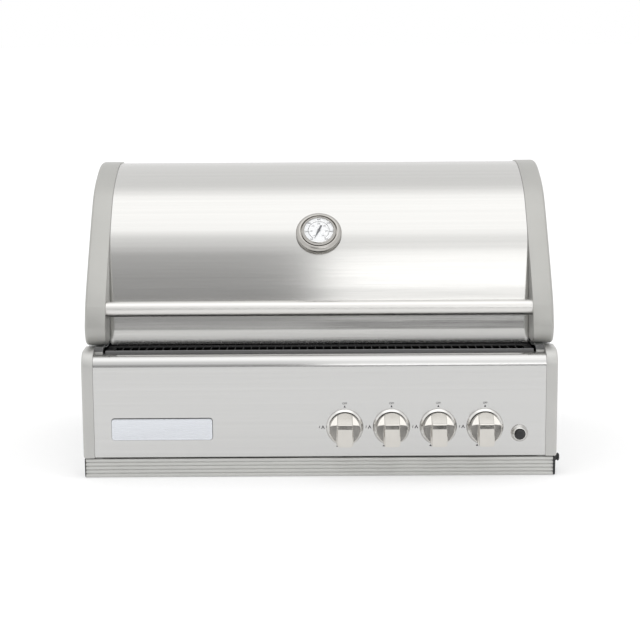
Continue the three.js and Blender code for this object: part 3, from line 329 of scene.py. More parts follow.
class Finish:
    """A material under construction: nodes joined to one Principled shader."""

    def __init__(self, name, color, roughness, metallic=1.0):
        self.material = bpy.data.materials.new(name)
        self.material.use_nodes = True
        self.tree = self.material.node_tree
        self.shader = self.tree.nodes["Principled BSDF"]
        self.shader.inputs["Base Color"].default_value = (*color, 1)
        self.shader.inputs["Roughness"].default_value = roughness
        self.shader.inputs["Metallic"].default_value = metallic
        self.roughness = roughness

    def node(self, kind, **settings):
        made = self.tree.nodes.new(kind)
        for key, value in settings.items():
            if key in made.inputs:
                made.inputs[key].default_value = value
            else:
                setattr(made, key, value)
        return made

    def link(self, source, target):
        self.tree.links.new(source, target)

    def noise(self, scale, detail, rough, stretch=(1, 1, 1)):
        """Noise over the object's own coordinates, stretched along its axes."""
        where = self.node("ShaderNodeTexCoord")
        mapping = self.node("ShaderNodeMapping")
        mapping.inputs["Scale"].default_value = stretch
        texture = self.node("ShaderNodeTexNoise", Scale=scale, Detail=detail, Roughness=rough)
        self.link(where.outputs["Object"], mapping.inputs["Vector"])
        self.link(mapping.outputs["Vector"], texture.inputs["Vector"])
        return texture.outputs["Fac"]

    def ramp(self, source, low, high, start=NOISE_LOW, end=NOISE_HIGH):
        """The source between start and end spread from low to high, as numbers."""
        spread = self.node("ShaderNodeMapRange")
        spread.inputs["From Min"].default_value = start
        spread.inputs["From Max"].default_value = end
        spread.inputs["To Min"].default_value = low
        spread.inputs["To Max"].default_value = high
        self.link(source, spread.inputs["Value"])
        return spread.outputs["Result"]

    def vary_color(self, source, low, high, start=NOISE_LOW, end=NOISE_HIGH):
        """Colour from low to high shades as the source goes from start to end."""
        fade = self.ramp(source, 0, 1, start, end)
        mix = self.node("ShaderNodeMix", data_type="RGBA")
        mix.inputs[MIX_A].default_value = (*low, 1)
        mix.inputs[MIX_B].default_value = (*high, 1)
        self.link(fade, mix.inputs[MIX_FACTOR])
        self.link(mix.outputs[MIX_RESULT], self.shader.inputs["Base Color"])

    def vary_roughness(self, source, spread, start=NOISE_LOW, end=NOISE_HIGH):
        """Roughness up to a spread below and above the finish's own."""
        varied = self.ramp(source, self.roughness - spread, self.roughness + spread, start, end)
        self.link(varied, self.shader.inputs["Roughness"])

    def bump(self, source, strength, distance):
        bump = self.node("ShaderNodeBump", Strength=strength, Distance=distance * MM)
        self.link(source, bump.inputs["Height"])
        self.link(bump.outputs["Normal"], self.shader.inputs["Normal"])


def shade(color, factor):
    return tuple(min(1.0, c * factor) for c in color)


def brushed(name, color, roughness, anisotropy, streaks=0.025, grain_axis="X"):
    """Steel with a brushed grain along one axis, which smears reflections across it."""

    def drawn_out(scale):
        return tuple(scale if axis == grain_axis else 1 for axis in "XYZ")

    finish = Finish(name, color, roughness)
    fine = finish.noise(scale=1500, detail=2, rough=0.6, stretch=drawn_out(0.004))
    broad = finish.noise(scale=160, detail=4, rough=0.6, stretch=drawn_out(0.0016))
    finish.vary_roughness(fine, spread=0.03)
    finish.vary_color(broad, shade(color, 1 - streaks), shade(color, 1 + streaks))
    finish.bump(fine, strength=0.1, distance=0.002)
    tangent = finish.node("ShaderNodeTangent", direction_type="RADIAL", axis=grain_axis)
    finish.shader.inputs["Anisotropic"].default_value = anisotropy
    finish.link(tangent.outputs["Tangent"], finish.shader.inputs["Tangent"])
    return finish.material


def satin(name, color, roughness, metallic):
    """Fine grained satin paint or casting."""
    finish = Finish(name, color, roughness, metallic)
    grain = finish.noise(scale=900, detail=3, rough=0.6)
    cloud = finish.noise(scale=14, detail=3, rough=0.5)
    finish.vary_color(cloud, shade(color, 0.98), shade(color, 1.02))
    finish.vary_roughness(grain, spread=0.05)
    finish.bump(grain, strength=0.12, distance=0.02)
    return finish.material


def polished(name, color, roughness):
    """Polished or plated metal with faint handling marks."""
    finish = Finish(name, color, roughness)
    haze = finish.noise(scale=60, detail=5, rough=0.65)
    finish.vary_roughness(haze, spread=0.03)
    finish.vary_color(haze, shade(color, 0.96), shade(color, 1.03))
    finish.bump(finish.noise(scale=1200, detail=2, rough=0.5), strength=0.04, distance=0.006)
    return finish.material


def rolled_sheet(name, color, roughness):
    """Zinc coated or mill finish sheet with soft spangle."""
    finish = Finish(name, color, roughness)
    where = finish.node("ShaderNodeTexCoord")
    cells = finish.node("ShaderNodeTexVoronoi", Scale=95.0, Randomness=1.0)
    finish.link(where.outputs["Object"], cells.inputs["Vector"])
    split = finish.node("ShaderNodeSeparateColor")
    finish.link(cells.outputs["Color"], split.inputs["Color"])
    finish.vary_color(split.outputs["Red"], shade(color, 0.9), shade(color, 1.06), start=0.0, end=1.0)
    finish.vary_roughness(split.outputs["Green"], spread=0.08, start=0.0, end=1.0)
    finish.bump(finish.noise(scale=300, detail=3, rough=0.6), strength=0.1, distance=0.02)
    return finish.material


def cast_iron(name):
    """Rough dark iron with pits and blotches."""
    finish = Finish(name, (0.045, 0.044, 0.042), 0.62, 0.25)
    pits = finish.noise(scale=420, detail=5, rough=0.7)
    blotch = finish.noise(scale=22, detail=3, rough=0.55)
    finish.vary_color(blotch, (0.028, 0.027, 0.026), (0.075, 0.07, 0.066))
    finish.vary_roughness(pits, spread=0.14)
    finish.bump(pits, strength=0.5, distance=0.25)
    return finish.material


def moulded(name, color, roughness):
    """Moulded plastic with a fine texture."""
    finish = Finish(name, color, roughness, 0.0)
    grain = finish.noise(scale=1400, detail=3, rough=0.6)
    blotch = finish.noise(scale=35, detail=3, rough=0.5)
    finish.vary_color(blotch, shade(color, 0.85), shade(color, 1.2))
    finish.vary_roughness(grain, spread=0.07)
    finish.bump(grain, strength=0.2, distance=0.03)
    return finish.material


def printed(name, color, roughness=0.55):
    """Printed enamel with faint unevenness."""
    finish = Finish(name, color, roughness, 0.0)
    cloud = finish.noise(scale=80, detail=3, rough=0.5)
    finish.vary_color(cloud, shade(color, 0.97), shade(color, 1.02))
    finish.vary_roughness(finish.noise(scale=600, detail=2, rough=0.5), spread=0.05)
    return finish.material


def window(name):
    """Clear flat glass that the dial shows through, and that mirrors more where it is seen aslant."""
    head_on_share = 0.04
    finish = Finish(name, (0.96, 0.98, 1.0), 0.02, 0.0)
    clear = finish.node("ShaderNodeBsdfTransparent")
    gloss = finish.node("ShaderNodeBsdfGlossy")
    smear = finish.ramp(finish.noise(scale=50, detail=4, rough=0.6), 0.02, 0.06)
    finish.link(smear, gloss.inputs["Roughness"])
    slant = finish.node("ShaderNodeLayerWeight", Blend=0.5)
    power = math_node(finish.tree, "POWER", slant.outputs["Facing"], 5.0)
    share = math_node(finish.tree, "MULTIPLY_ADD", power, 1 - head_on_share, head_on_share)
    mix = finish.node("ShaderNodeMixShader")
    finish.link(share, mix.inputs[0])
    finish.link(clear.outputs["BSDF"], mix.inputs[1])
    finish.link(gloss.outputs["BSDF"], mix.inputs[2])
    finish.link(mix.outputs["Shader"], finish.tree.nodes["Material Output"].inputs["Surface"])
    return finish.material


lid_steel = brushed("brushed_lid", (0.60, 0.595, 0.58), 0.14, anisotropy=0.9)
fascia_steel = brushed("brushed_fascia", (0.59, 0.588, 0.58), 0.14, anisotropy=0.9)
casting = satin("satin_casting", (0.45, 0.447, 0.427), 0.42, 0.6)
pale_casting = satin("pale_casting", (0.56, 0.557, 0.54), 0.42, 0.6)
rail_satin = satin("satin_rail", (0.60, 0.60, 0.58), 0.4, 0.6)
tube = brushed("tube_steel", (0.72, 0.71, 0.69), 0.34, anisotropy=0.2, streaks=0.015)
chrome = polished("polished_steel", (0.74, 0.73, 0.71), 0.1)
nickel = polished("satin_nickel", (0.62, 0.60, 0.565), 0.16)
gauge_steel = polished("gauge_steel", (0.47, 0.455, 0.43), 0.17)
plate = brushed("badge_plate_finish", (0.74, 0.76, 0.80), 0.28, anisotropy=0.7, streaks=0.012)
sheet = rolled_sheet("sheet_steel", (0.55, 0.56, 0.56), 0.42)
burner_steel = brushed(
    "burner_steel", (0.45, 0.43, 0.40), 0.4, anisotropy=0.4, streaks=0.08, grain_axis="Y",
)
iron = cast_iron("cast_iron")
# Near black for the firebox front, where it shows through the vent
firebox_black = moulded("black_enamel", (0.012, 0.012, 0.013), 0.6)
firebox_black.node_tree.nodes["Principled BSDF"].inputs["Specular IOR Level"].default_value = 0.1
# Two greys of one satin: the darker paints the shade on the vent's flange and on the rest pads' faces,
# the lighter is a painted highlight along the vent strip's front edge
vent_painted_shade = satin("vent_painted_shade", (0.13, 0.13, 0.13), 0.5, 0.0)
vent_painted_highlight = satin("vent_painted_highlight", (0.24, 0.24, 0.24), 0.45, 0.0)
brass = polished("machined_brass", (0.60, 0.46, 0.20), 0.25)
black = moulded("black_plastic", (0.02, 0.02, 0.021), 0.42)
dial_white = printed("dial_white", (0.97, 0.98, 1.0))
ink = printed("dark_print", (0.03, 0.03, 0.034))
needle_paint = printed("needle_paint", (0.05, 0.055, 0.065), 0.4)
glass = window("window_glass")

SLOT_FINISH = {
    "brushed_steel": fascia_steel,
    "satin_casting": casting,
    "polished_steel": chrome,
    "tube_steel": tube,
    "badge_metal": plate,
    "sheet_steel": sheet,
    "burner_steel": burner_steel,
    "cast_iron": iron,
    "black_enamel": firebox_black,
    "gas_brass": brass,
    "black_plastic": black,
    "dial_white": dial_white,
    "needle_paint": needle_paint,
    "window_glass": glass,
}
for row in frame["record"]["subparts"]:
    node = frame["nodes"][row["node"]]
    node.data.materials.clear()
    node.data.materials.append(SLOT_FINISH[row["material_slot"]])

# Lid outline, in shares of its depth and rise from its nose and lower edge

LID_FRONT, LID_BOTTOM, LID_DEPTH, LID_RISE = 29.0, 228.0, 486.0, 298.0
CAP_INNER, LID_HALF = 374.7, 411.0
HINGE_BACK, HINGE_UP, HEEL = 470.0, 300.0, 72.0
CURVE_STEPS, NOSE_STEPS, HEEL_STEPS = 14, 16, 12
nose_shares = ((0.051, 0), (0.002, 0.01), (0, 0.121))
front_shares = ((0.025, 0.232), (0.064, 0.329), (0.144, 0.493))
crown_shares = (
    (0.261, 0.718), (0.344, 0.852), (0.444, 0.936), (0.591, 1), (0.763, 0.98), (0.891, 0.879),
    (0.969, 0.695), (1, 0.477),
)


def lid_points(shares):
    return [(LID_FRONT + back * LID_DEPTH, LID_BOTTOM + up * LID_RISE) for back, up in shares]


def heel_arc(radius, start_back, steps):
    """Arc below the hinge, from the depth start_back to its lowest point."""
    start = -math.degrees(math.acos((start_back - HINGE_BACK) / radius))
    return arc(HINGE_BACK, HINGE_UP, radius, start, -90, steps)


nose_curve = bezier(*lid_points(nose_shares), NOSE_STEPS)
front_curve = spline(lid_points(front_shares), CURVE_STEPS)
crown_curve = spline(lid_points(crown_shares), CURVE_STEPS)
crown_end = crown_curve[-1][0]

# Skin

SHEET, SKIN_INSET, EDGE_GAP, SKIN_STEPS = 1.5, 2.5, 0.3, 8


def folded(path):
    """Outline of a folded sheet whose outer face follows a path."""
    return path + offset(path, -SHEET)[::-1]


skin_hem = [(102.0, 220.4), (95.9, 220.2)]
skin_front = spline([
    (95.1, 220.6), (95.3, 226), (95.8, 236), (96.08, 242.5), (96.2, 244.9), (96.36, 246.7),
    (96.62, 249), (97.48, 256.5), (98.2, 262), (100.2, 275), (102.05, 285), (104.35, 297),
    (108.5, 320), (111.0, 332), (113.8, 345), (118.8, 366), (124.2, 386), (130.3, 402),
    (138.5, 416.4), (147.8, 428.3),
], SKIN_STEPS)
skin_outer = skin_front + offset([*crown_curve, (crown_end, HINGE_UP)], -SKIN_INSET)
skin = prism(
    "lid_skin_sheet", folded(skin_hem + skin_outer), -CAP_INNER + EDGE_GAP, CAP_INNER - EDGE_GAP,
    smooth_angle=50,
)
dress(skin, "lid", "brushed_steel", lid_steel, "lid_skin")

# End caps of the lid, hollow from inside

LID_CAP_WALL, LID_CAP_FACE, LID_CAP_ROUNDS, POCKET_STEPS = 8.0, 5.0, (1.2, 5.0), 8
OVERRUN = 6.0
cap_outline = nose_curve + front_curve + crown_curve + heel_arc(HEEL, crown_end, HEEL_STEPS)
pocket_low = LID_BOTTOM + LID_CAP_WALL
pocket_inside = [p for p in offset(skin_outer, -LID_CAP_WALL) if p[1] > pocket_low]
pocket_outline = [
    (pocket_inside[0][0], pocket_low), *pocket_inside,
    *heel_arc(HEEL - LID_CAP_WALL, pocket_inside[-1][0], POCKET_STEPS),
]
for name, side in SIDES:
    cap = prism(
        f"lid_cap_{name}_casting", cap_outline, side * CAP_INNER, side * LID_HALF, *LID_CAP_ROUNDS, 30,
    )
    pocket = prism(
        "pocket", pocket_outline, side * (CAP_INNER - OVERRUN), side * (LID_HALF - LID_CAP_FACE),
    )
    boolean(cap, "DIFFERENCE", pocket)
    dress(cap, "lid", "satin_casting", casting, f"lid_cap_{name}")

# Handle

HANDLE_BACK, HANDLE_UP = 56.0, 291.0
handle_end = [(11.5, 386.4), (13.0, 386.4), (13.5, 385.8)]
handle_profile = [(radius, -along) for radius, along in handle_end] + handle_end[::-1]
handle = lathe(
    "lid_handle_tube", handle_profile + handle_profile[:1],
    local_frame(0, HANDLE_BACK, HANDLE_UP, QUARTER, "Y"), 64,
)
dress(handle, "lid", "tube_steel", tube, "lid_handle")

# Thermometer, in a frame of its own with X across, Y up the lid's front panel and Z out of it

DIAL_BACK, DIAL_UP = 135.0, 413.53
PANEL_ANGLE = math.atan2(
    crown_curve[0][1] - front_curve[-1][1], crown_curve[0][0] - front_curve[-1][0],
)
dial_frame = local_frame(0, DIAL_BACK, DIAL_UP, PANEL_ANGLE, "X")
ring_profile = [
    (30.6, 1.4), (41.0, 0.3), (41.0, 4.0), (40.7, 5.0), *bezier((40.0, 6.0), (37.6, 9.2), (33.6, 9.8), 8),
    (33.0, 9.6), (32.6, 9.0), (32.4, 5.0), (31.4, 5.0), (31.3, 9.2), (31.0, 10.0), (28.0, 12.6),
    (27.4, 12.8), (26.9, 12.6), (26.6, 12.1), (26.6, 6.4), (30.6, 6.4), (30.6, 1.4),
]
case = lathe("thermometer_ring", ring_profile, dial_frame, 128, 40)
dress(case, "lid", "polished_steel", gauge_steel, "thermometer_case")
cup_profile = [(0, -58), (3.2, -57.6), (4, -56), (4, 0.3), (30.6, 0.3), (30.6, 1.3), (0, 1.3)]
back_cup = lathe("thermometer_cup", cup_profile, dial_frame, 64)
dress(back_cup, "lid", "polished_steel", gauge_steel)

BOSS, BOSS_BORE, BOSS_TOP, BOSS_STEPS = 34.0, 32.0, 0.9, 96
BOSS_LEAST, BOSS_SINK = 0.5, 0.8
panel_cos, panel_sin = math.cos(PANEL_ANGLE), math.sin(PANEL_ANGLE)
skin_seen = []
for back, up in skin_outer:
    b, z = back - DIAL_BACK, up - DIAL_UP
    skin_seen.append((b * panel_cos + z * panel_sin, z * panel_cos - b * panel_sin))


def skin_height(along):
    """Height of the skin's outer face in the dial's frame, at a distance up the panel."""
    for (y0, h0), (y1, h1) in zip(skin_seen, skin_seen[1:]):
        if y0 <= along < y1:
            return h0 + (h1 - h0) * (along - y0) / (y1 - y0)
    return 0.0


boss_sections = []
for i in range(BOSS_STEPS + 1):
    turn = math.tau * i / BOSS_STEPS
    foot = min(BOSS_TOP - BOSS_LEAST, skin_height(BOSS * math.sin(turn)) - BOSS_SINK)
    boss_sections.append([
        dial_frame @ Vector((r * math.cos(turn), r * math.sin(turn), h))
        for r, h in ((BOSS, BOSS_TOP), (BOSS, foot), (BOSS_BORE, foot), (BOSS_BORE, BOSS_TOP))
    ])
dress(loft("thermometer_boss", boss_sections, 40, ends=False), "lid", "polished_steel", gauge_steel)

DIAL_TOP = 10.4
dial_profile = [(0, 9.4), (26.1, 9.4), (26.4, 9.6), (26.4, 10.2), (26.1, DIAL_TOP), (0, DIAL_TOP)]
dial = lathe("thermometer_dial_face", dial_profile, dial_frame)
dress(dial, "lid", "dial_white", dial_white, "thermometer_dial")
pane_profile = [(0, 12.0), (26.4, 12.0), (26.4, 12.4), (26.2, 12.6), (0, 12.6)]
pane = lathe("thermometer_pane", pane_profile, dial_frame)
dress(pane, "lid", "window_glass", glass, "thermometer_glass")

# Dial's scale, numbers and needle

SWEEP = 145.0  # degrees from the top to either end of the scale
SCALE_RADIUS, SCALE_WIDTH, SCALE_STEPS, SCALE_THICKNESS = 18.6, 0.55, 72, 0.04
TICKS, TICKS_TO_A_LONG_ONE, INNER_LAP, OUTER_LAP = 30, 5, 0.1, 0.15
LONG_TICK, SHORT_TICK = (0.5, 1.6, 1.9), (0.3, 0.9, 1.4)  # width, reach inwards, reach outwards
NUMBERS = 7
NUMBER_ROWS = ((50, 13.9, 3.3), (100, 23.1, 4.0))  # step, radius, size
NEEDLE_ANGLE, NEEDLE_HEIGHT, NEEDLE_THICKNESS, NEEDLE_EDGE = 204.0, 10.9, 0.5, 0.25


def clock(radius, angle):
    """The point at a radius and at an angle clockwise from the top."""
    turn = math.radians(angle)
    return (radius * math.sin(turn), radius * math.cos(turn))


def tick(angle, inner, outer, width):
    """A short stroke from one radius to another."""
    along = Vector(clock(1, angle))
    across = Vector((along.y, -along.x)) * width / 2
    corners = ((inner, -1), (outer, -1), (outer, 1), (inner, 1))
    return [tuple(along * radius + across * side) for radius, side in corners]


def sweep_angles(count):
    """Angles along the scale, from its one end to the other in count steps."""
    return [-SWEEP + 2 * SWEEP * i / count for i in range(count + 1)]


marks = []
ring_angles = sweep_angles(SCALE_STEPS)
scale_outer = SCALE_RADIUS + SCALE_WIDTH
for a, b in zip(ring_angles, ring_angles[1:]):
    marks.append([
        clock(SCALE_RADIUS, a), clock(SCALE_RADIUS, b), clock(scale_outer, b), clock(scale_outer, a),
    ])
for i, angle in enumerate(sweep_angles(TICKS)):
    width, inwards, outwards = SHORT_TICK if i % TICKS_TO_A_LONG_ONE else LONG_TICK
    marks.append(tick(angle, SCALE_RADIUS - inwards, SCALE_RADIUS + INNER_LAP, width))
    marks.append(tick(angle, scale_outer - OUTER_LAP, SCALE_RADIUS + outwards, width))
print_level = DIAL_TOP + PRINT_HEIGHT
dial_marks = flat_mesh("thermometer_scale", marks, print_level, SCALE_THICKNESS, dial_frame)
dress(dial_marks, "lid", "needle_paint", ink)
numbers = []
for i, angle in enumerate(sweep_angles(NUMBERS - 1)):
    for step, radius, size in NUMBER_ROWS:
        spot = Matrix.Translation((*clock(radius, angle), print_level))
        numbers.append(words(str(step * (i + 1)), size, dial_frame @ spot))
dress(merged("thermometer_numbers", numbers), "lid", "needle_paint", ink)

needle_side = [(0.6, 13), (2.0, 1), (1.5, -6), (1.7, -11)]
needle_outline = [(0, 21.2), *((-x, y) for x, y in needle_side), (0, -12), *needle_side[::-1]]
needle_frame = dial_frame @ Matrix.Rotation(-math.radians(NEEDLE_ANGLE), 4, "Z")
needle = flat_mesh(
    "thermometer_pointer", [needle_outline], NEEDLE_HEIGHT, NEEDLE_THICKNESS, needle_frame,
)
soften(needle, NEEDLE_EDGE)
hub_profile = [(0, 10.5), (2.2, 10.5), (2.4, 10.7), (2.4, 11.5), (2.1, 11.7), (0, 11.8)]
hub = lathe("thermometer_hub", hub_profile, dial_frame, 40)
dress(hub, "needle", "needle_paint", needle_paint)
dress(needle, "needle", "needle_paint", needle_paint, "thermometer_needle")

# Control fascia, bent over at its crest, and grey strips behind its top that paint the vent's shaded
# flange and its lit edge

FASCIA_BOTTOM, FASCIA_CREST, FASCIA_TOP, FASCIA_HALF = 36.0, 216.5, 223.0, 395.0
FOOT_BEND, FOOT_BACK, CREST_BEND, CREST_BACK, HEM = 2.2, 40.0, 21.0, 31.0, 11.0
FOOT_STEPS, BEND_STEPS = 5, 28
fascia_path = [
    (FOOT_BACK, FASCIA_BOTTOM),
    *arc(FOOT_BEND, FASCIA_BOTTOM + FOOT_BEND, FOOT_BEND, 270, 180, FOOT_STEPS),
    *arc(CREST_BEND, FASCIA_CREST - CREST_BEND, CREST_BEND, 180, 90, BEND_STEPS),
    (CREST_BACK, FASCIA_CREST), (CREST_BACK, FASCIA_CREST - HEM),
]
fascia = prism(
    "fascia_panel_sheet", folded(fascia_path), -FASCIA_HALF + EDGE_GAP, FASCIA_HALF - EDGE_GAP,
    smooth_angle=50,
)
dress(fascia, "grill", "brushed_steel", fascia_steel, "fascia_panel")

# Strips behind the fascia's top: the lower one paints the vent's flange in shade, the thin upper one
# paints the highlight along its front edge
STRIP_LOW, STRIP_SPLIT, STRIP_TOP = 206.0, 220.4, 221.6
STRIP_BACK, STRIP_HALF = 31.28, 375.5
for name, front, low, high, material in (
    ("vent_strip_painted_shade", 31.04, STRIP_LOW, STRIP_SPLIT, vent_painted_shade),
    ("vent_strip_painted_highlight", 31.02, STRIP_SPLIT, STRIP_TOP, vent_painted_highlight),
):
    strip = slab(name, front, STRIP_BACK, low, high, -STRIP_HALF, STRIP_HALF)
    dress(strip, "grill", "black_enamel", material)

# Fascia's end caps, hollow from inside, and the rest pads beside the vent

CAP_PROUD, CAP_BEND, CAP_BACK, CAP_WIDTH, CAP_WALL, CAP_ROUNDS = 1.0, 29.0, 62.0, 20.0, 4.0, (0.6, 3.5)
PAD_INNER, PAD_OUTER, PAD_BACK = 380.0, 394.4, 31.55
PAD_LOW, PAD_SPLIT, PAD_TOP = 216.6, 219.4, 227.6
# Each pad's face is in the dark grey that paints shade, as on the vent strip
PADS = (
    ("face", 31.2, PAD_SPLIT, PAD_TOP, "black_enamel", vent_painted_shade),
    ("lip", 30.4, PAD_LOW, PAD_SPLIT, "satin_casting", pale_casting),
)
cap_crest = FASCIA_TOP + CAP_PROUD
end_outline = [
    (-CAP_PROUD, FASCIA_BOTTOM),
    *arc(CAP_BEND - CAP_PROUD, cap_crest - CAP_BEND, CAP_BEND, 180, 90, BEND_STEPS),
    (CAP_BACK, cap_crest), (CAP_BACK, FASCIA_BOTTOM),
]
for name, side in SIDES:
    end_cap = prism(
        f"fascia_cap_{name}_casting", end_outline,
        side * FASCIA_HALF, side * (FASCIA_HALF + CAP_WIDTH), *CAP_ROUNDS, 30,
    )
    pocket = slab(
        "pocket", CAP_WALL - CAP_PROUD, CAP_BACK - CAP_WALL,
        FASCIA_BOTTOM + CAP_WALL, cap_crest - CAP_BEND,
        side * (FASCIA_HALF - OVERRUN), side * (FASCIA_HALF + CAP_WIDTH - CAP_WALL),
    )
    boolean(end_cap, "DIFFERENCE", pocket)
    dress(end_cap, "grill", "satin_casting", pale_casting, f"fascia_cap_{name}")
    for part, front, low, high, slot, material in PADS:
        pad = slab(
            f"rest_pad_{part}_{name}", front, PAD_BACK, low, high, side * PAD_INNER, side * PAD_OUTER,
        )
        dress(pad, "grill", slot, material)

# Badge plate, over a black sheet that paints the shadow line round its edges

BADGE_LEFT, BADGE_RIGHT, BADGE_LOW, BADGE_HIGH = -364.0, -188.0, 68.0, 106.0
BADGE_CORNER, CORNER_STEPS = 5.0, 6
SHADOW_LEFT, SHADOW_RIGHT, SHADOW_BELOW, SHADOW_ABOVE = 0.6, 0.8, 0.6, 1.2
SHADOW_CORNER, SHADOW_LEVELS = 5.6, (0.05, 0.35)
badge_layers = [
    (0.3, 0.0), (1.6, 0.0), (2.1, 0.25), (2.3, 0.8), (2.3, 1.6), (2.1, 2.2), (1.75, 2.5), (1.7, 3.0),
]  # height and inset


def rounded_box(a0, a1, b0, b1, radius):
    """A rectangle with rounded corners."""
    corners = (
        (a1 - radius, b0 + radius, -90), (a1 - radius, b1 - radius, 0),
        (a0 + radius, b1 - radius, 90), (a0 + radius, b0 + radius, 180),
    )
    return [p for a, b, start in corners for p in arc(a, b, radius, start, start + 90, CORNER_STEPS)]


def stepped_plate(name, layers):
    """A plate on the fascia from outlines at rising heights."""
    matrix = fascia_frame(0, 0)
    return loft(name, [[matrix @ Vector((a, b, h)) for a, b in outline] for h, outline in layers], 40)


badge = stepped_plate("badge_plate_bare", [
    (h, rounded_box(BADGE_LEFT + i, BADGE_RIGHT - i, BADGE_LOW + i, BADGE_HIGH - i, BADGE_CORNER - i))
    for h, i in badge_layers
])
dress(badge, "grill", "badge_metal", plate, "badge_plate")
# A black sheet a little larger than the plate, seen as a thin dark line round it: painted shadow under
# the plate's edges
shadow_outline = rounded_box(
    BADGE_LEFT - SHADOW_LEFT, BADGE_RIGHT + SHADOW_RIGHT, BADGE_LOW - SHADOW_BELOW, BADGE_HIGH + SHADOW_ABOVE,
    SHADOW_CORNER,
)
badge_shadow_sheet = stepped_plate("badge_plate_painted_shadow", [(h, shadow_outline) for h in SHADOW_LEVELS])
dress(badge_shadow_sheet, "grill", "black_plastic", black)

# Knobs

KNOB_UP, KNOB_BACK, FIRST_KNOB, KNOB_PITCH, KNOB_COUNT = 89.0, 6.5, 43.5, 81.7, 4
KNOBS = [FIRST_KNOB + KNOB_PITCH * i for i in range(KNOB_COUNT)]
GRIP_HALF = 12.7  # half the width of the bar across a knob's face
BROW_UP, BROW_RADIUS, BROW_TURN, BROW_STEPS = 10.2, 46, 20, 8
SCOOP_FLOOR, SCOOP_SLOPE = 12.6, 0.135
WIDE, FAR = 40, 60  # past a knob's sides, and past its face


def drawn_across(name, outline, xs):
    """A body from an outline of points (up, out) drawn out along a knob's X."""
    return loft(name, [[Vector((x, y, z)) for y, z in outline] for x in xs], 30)


def knob_mesh():
    """One knob round its own axis, in millimetres, with Z out towards the viewer."""
    body = lathe("knob", [
        (0, 0), (26.6, 0), (27.2, 0.4), (27.4, 1.2), (27.4, 29.8), (27.0, 31.0), (26.0, 31.5), (0, 31.5),
    ], Matrix.Identity(4), 128)
    crest = [(4.2, 31.5), (12.0, 30.4), (12.9, 29.5), (13.8, 27.8)]
    slope = [(-FAR, 31.5), *crest, (27.4, 4.6), (FAR, -50), (FAR, FAR), (-FAR, FAR)]
    cutters = [drawn_across("slope", slope, (-WIDE, WIDE))]
    shoulder = [
        (-FAR, 24.5), (7.5, 24.5), (10.5, 23.4), (27.4, 4.0), (FAR, -30), (FAR, FAR), (-FAR, FAR),
    ]
    for side in (-1, 1):
        cutters.append(drawn_across("shoulder", shoulder, (GRIP_HALF * side, WIDE * side)))
        brow = arc(
            GRIP_HALF * side, BROW_UP - BROW_RADIUS, BROW_RADIUS, 90, 90 - BROW_TURN * side, BROW_STEPS,
        )
        outline = [
            *brow, (WIDE * side, 4), (WIDE * side, -WIDE), (15.2 * side, -WIDE), (14.4 * side, -20),
        ]
        levels = [
            [Vector((x, y, lift - y * SCOOP_SLOPE)) for x, y in outline] for lift in (SCOOP_FLOOR, FAR)
        ]
        cutters.append(loft("scoop", levels, 30))
    toe_side = [(14.9, 0), (14.9, -24.6), (13.6, -25.9), (7, -26.9)]
    toe = [*toe_side, (0, -27.2), *((-x, y) for x, y in toe_side[::-1])]
    toe_levels = [
        [Vector((x * k, y * k, z)) for x, y in toe] for z, k in ((9.5, 0.96), (10.5, 1), (FAR, 1))
    ]
    boolean(body, "UNION", loft("toe", toe_levels, 30))
    boolean(body, "DIFFERENCE", *cutters)
    remesh = body.modifiers.new("remesh", "REMESH")
    remesh.mode = "VOXEL"
    remesh.voxel_size = 0.42
    smooth = body.modifiers.new("smooth", "SMOOTH")
    smooth.factor, smooth.iterations = 0.5, 5
    thin = body.modifiers.new("thin", "DECIMATE")
    thin.ratio = 0.22
    apply_modifiers(body)
    mesh = body.data
    bpy.data.objects.remove(body)
    return mesh


KNOB_MESH = knob_mesh()
bezel_profile = [
    (7, 0.3), (32.3, 0.3), (32.6, 0.6), (32.6, 1.0), (32.4, 1.4), (28.9, 5.4), (28.6, 5.6), (28.4, 5.5),
    (28.3, 5.2), (28.3, 2.0), (7, 2.0), (7, 0.3),
]
for index, x in enumerate(KNOBS, 1):
    mesh = KNOB_MESH.copy()
    mesh.transform(fascia_frame(x, KNOB_UP) @ Matrix.Translation((0, 0, KNOB_BACK)))
    knob = from_mesh(f"knob_{index}_cast", mesh, 60)
    dress(knob, f"knob_{index}", "polished_steel", nickel, f"knob_{index}")
    bezel = lathe(f"knob_bezel_{index}_ring", bezel_profile, fascia_frame(x, KNOB_UP), 96, 40)
    dress(bezel, "grill", "polished_steel", chrome, f"knob_bezel_{index}")

# Marks round the knobs: off at the top, light at the left, low at the lower left

OFF_UP, OFF_SIZE = 42.4, 4.8
KNOB_MARKS = (
    (0, 35.2, [(-1.9, 0), (1.9, 0), (0, 4.2)]),
    (-38.2, 0, [(-3.2, -2.6), (0, 3.9), (3.2, -2.6), (1.6, -2.6), (0, 0.9), (-1.6, -2.6)]),
    (-38.2, 0, [(-7.2, -1.8), (-6.2, -1.8), (-5.2, 2.8), (-6.2, 2.8)]),
    (-13.4, -33.4, [(-2.3, -1.2), (2.5, -1.5), (0.4, 2.2)]),
)  # place from the knob's axis, and outline
print_frame = fascia_frame(0, 0)
mark_shapes, mark_words = [], []
for x in KNOBS:
    for aside, above, outline in KNOB_MARKS:
        mark_shapes.append([(x + aside + a, KNOB_UP + above + b) for a, b in outline])
    spot = Matrix.Translation((x, KNOB_UP + OFF_UP, PRINT_HEIGHT))
    mark_words.append(words("OFF", OFF_SIZE, print_frame @ spot))
knob_marks = flat_mesh("fascia_marks", mark_shapes, PRINT_HEIGHT, PRINT_THICKNESS, print_frame)
dress(knob_marks, "grill", "needle_paint", ink)
dress(merged("fascia_off_marks", mark_words), "grill", "needle_paint", ink)

# Igniter

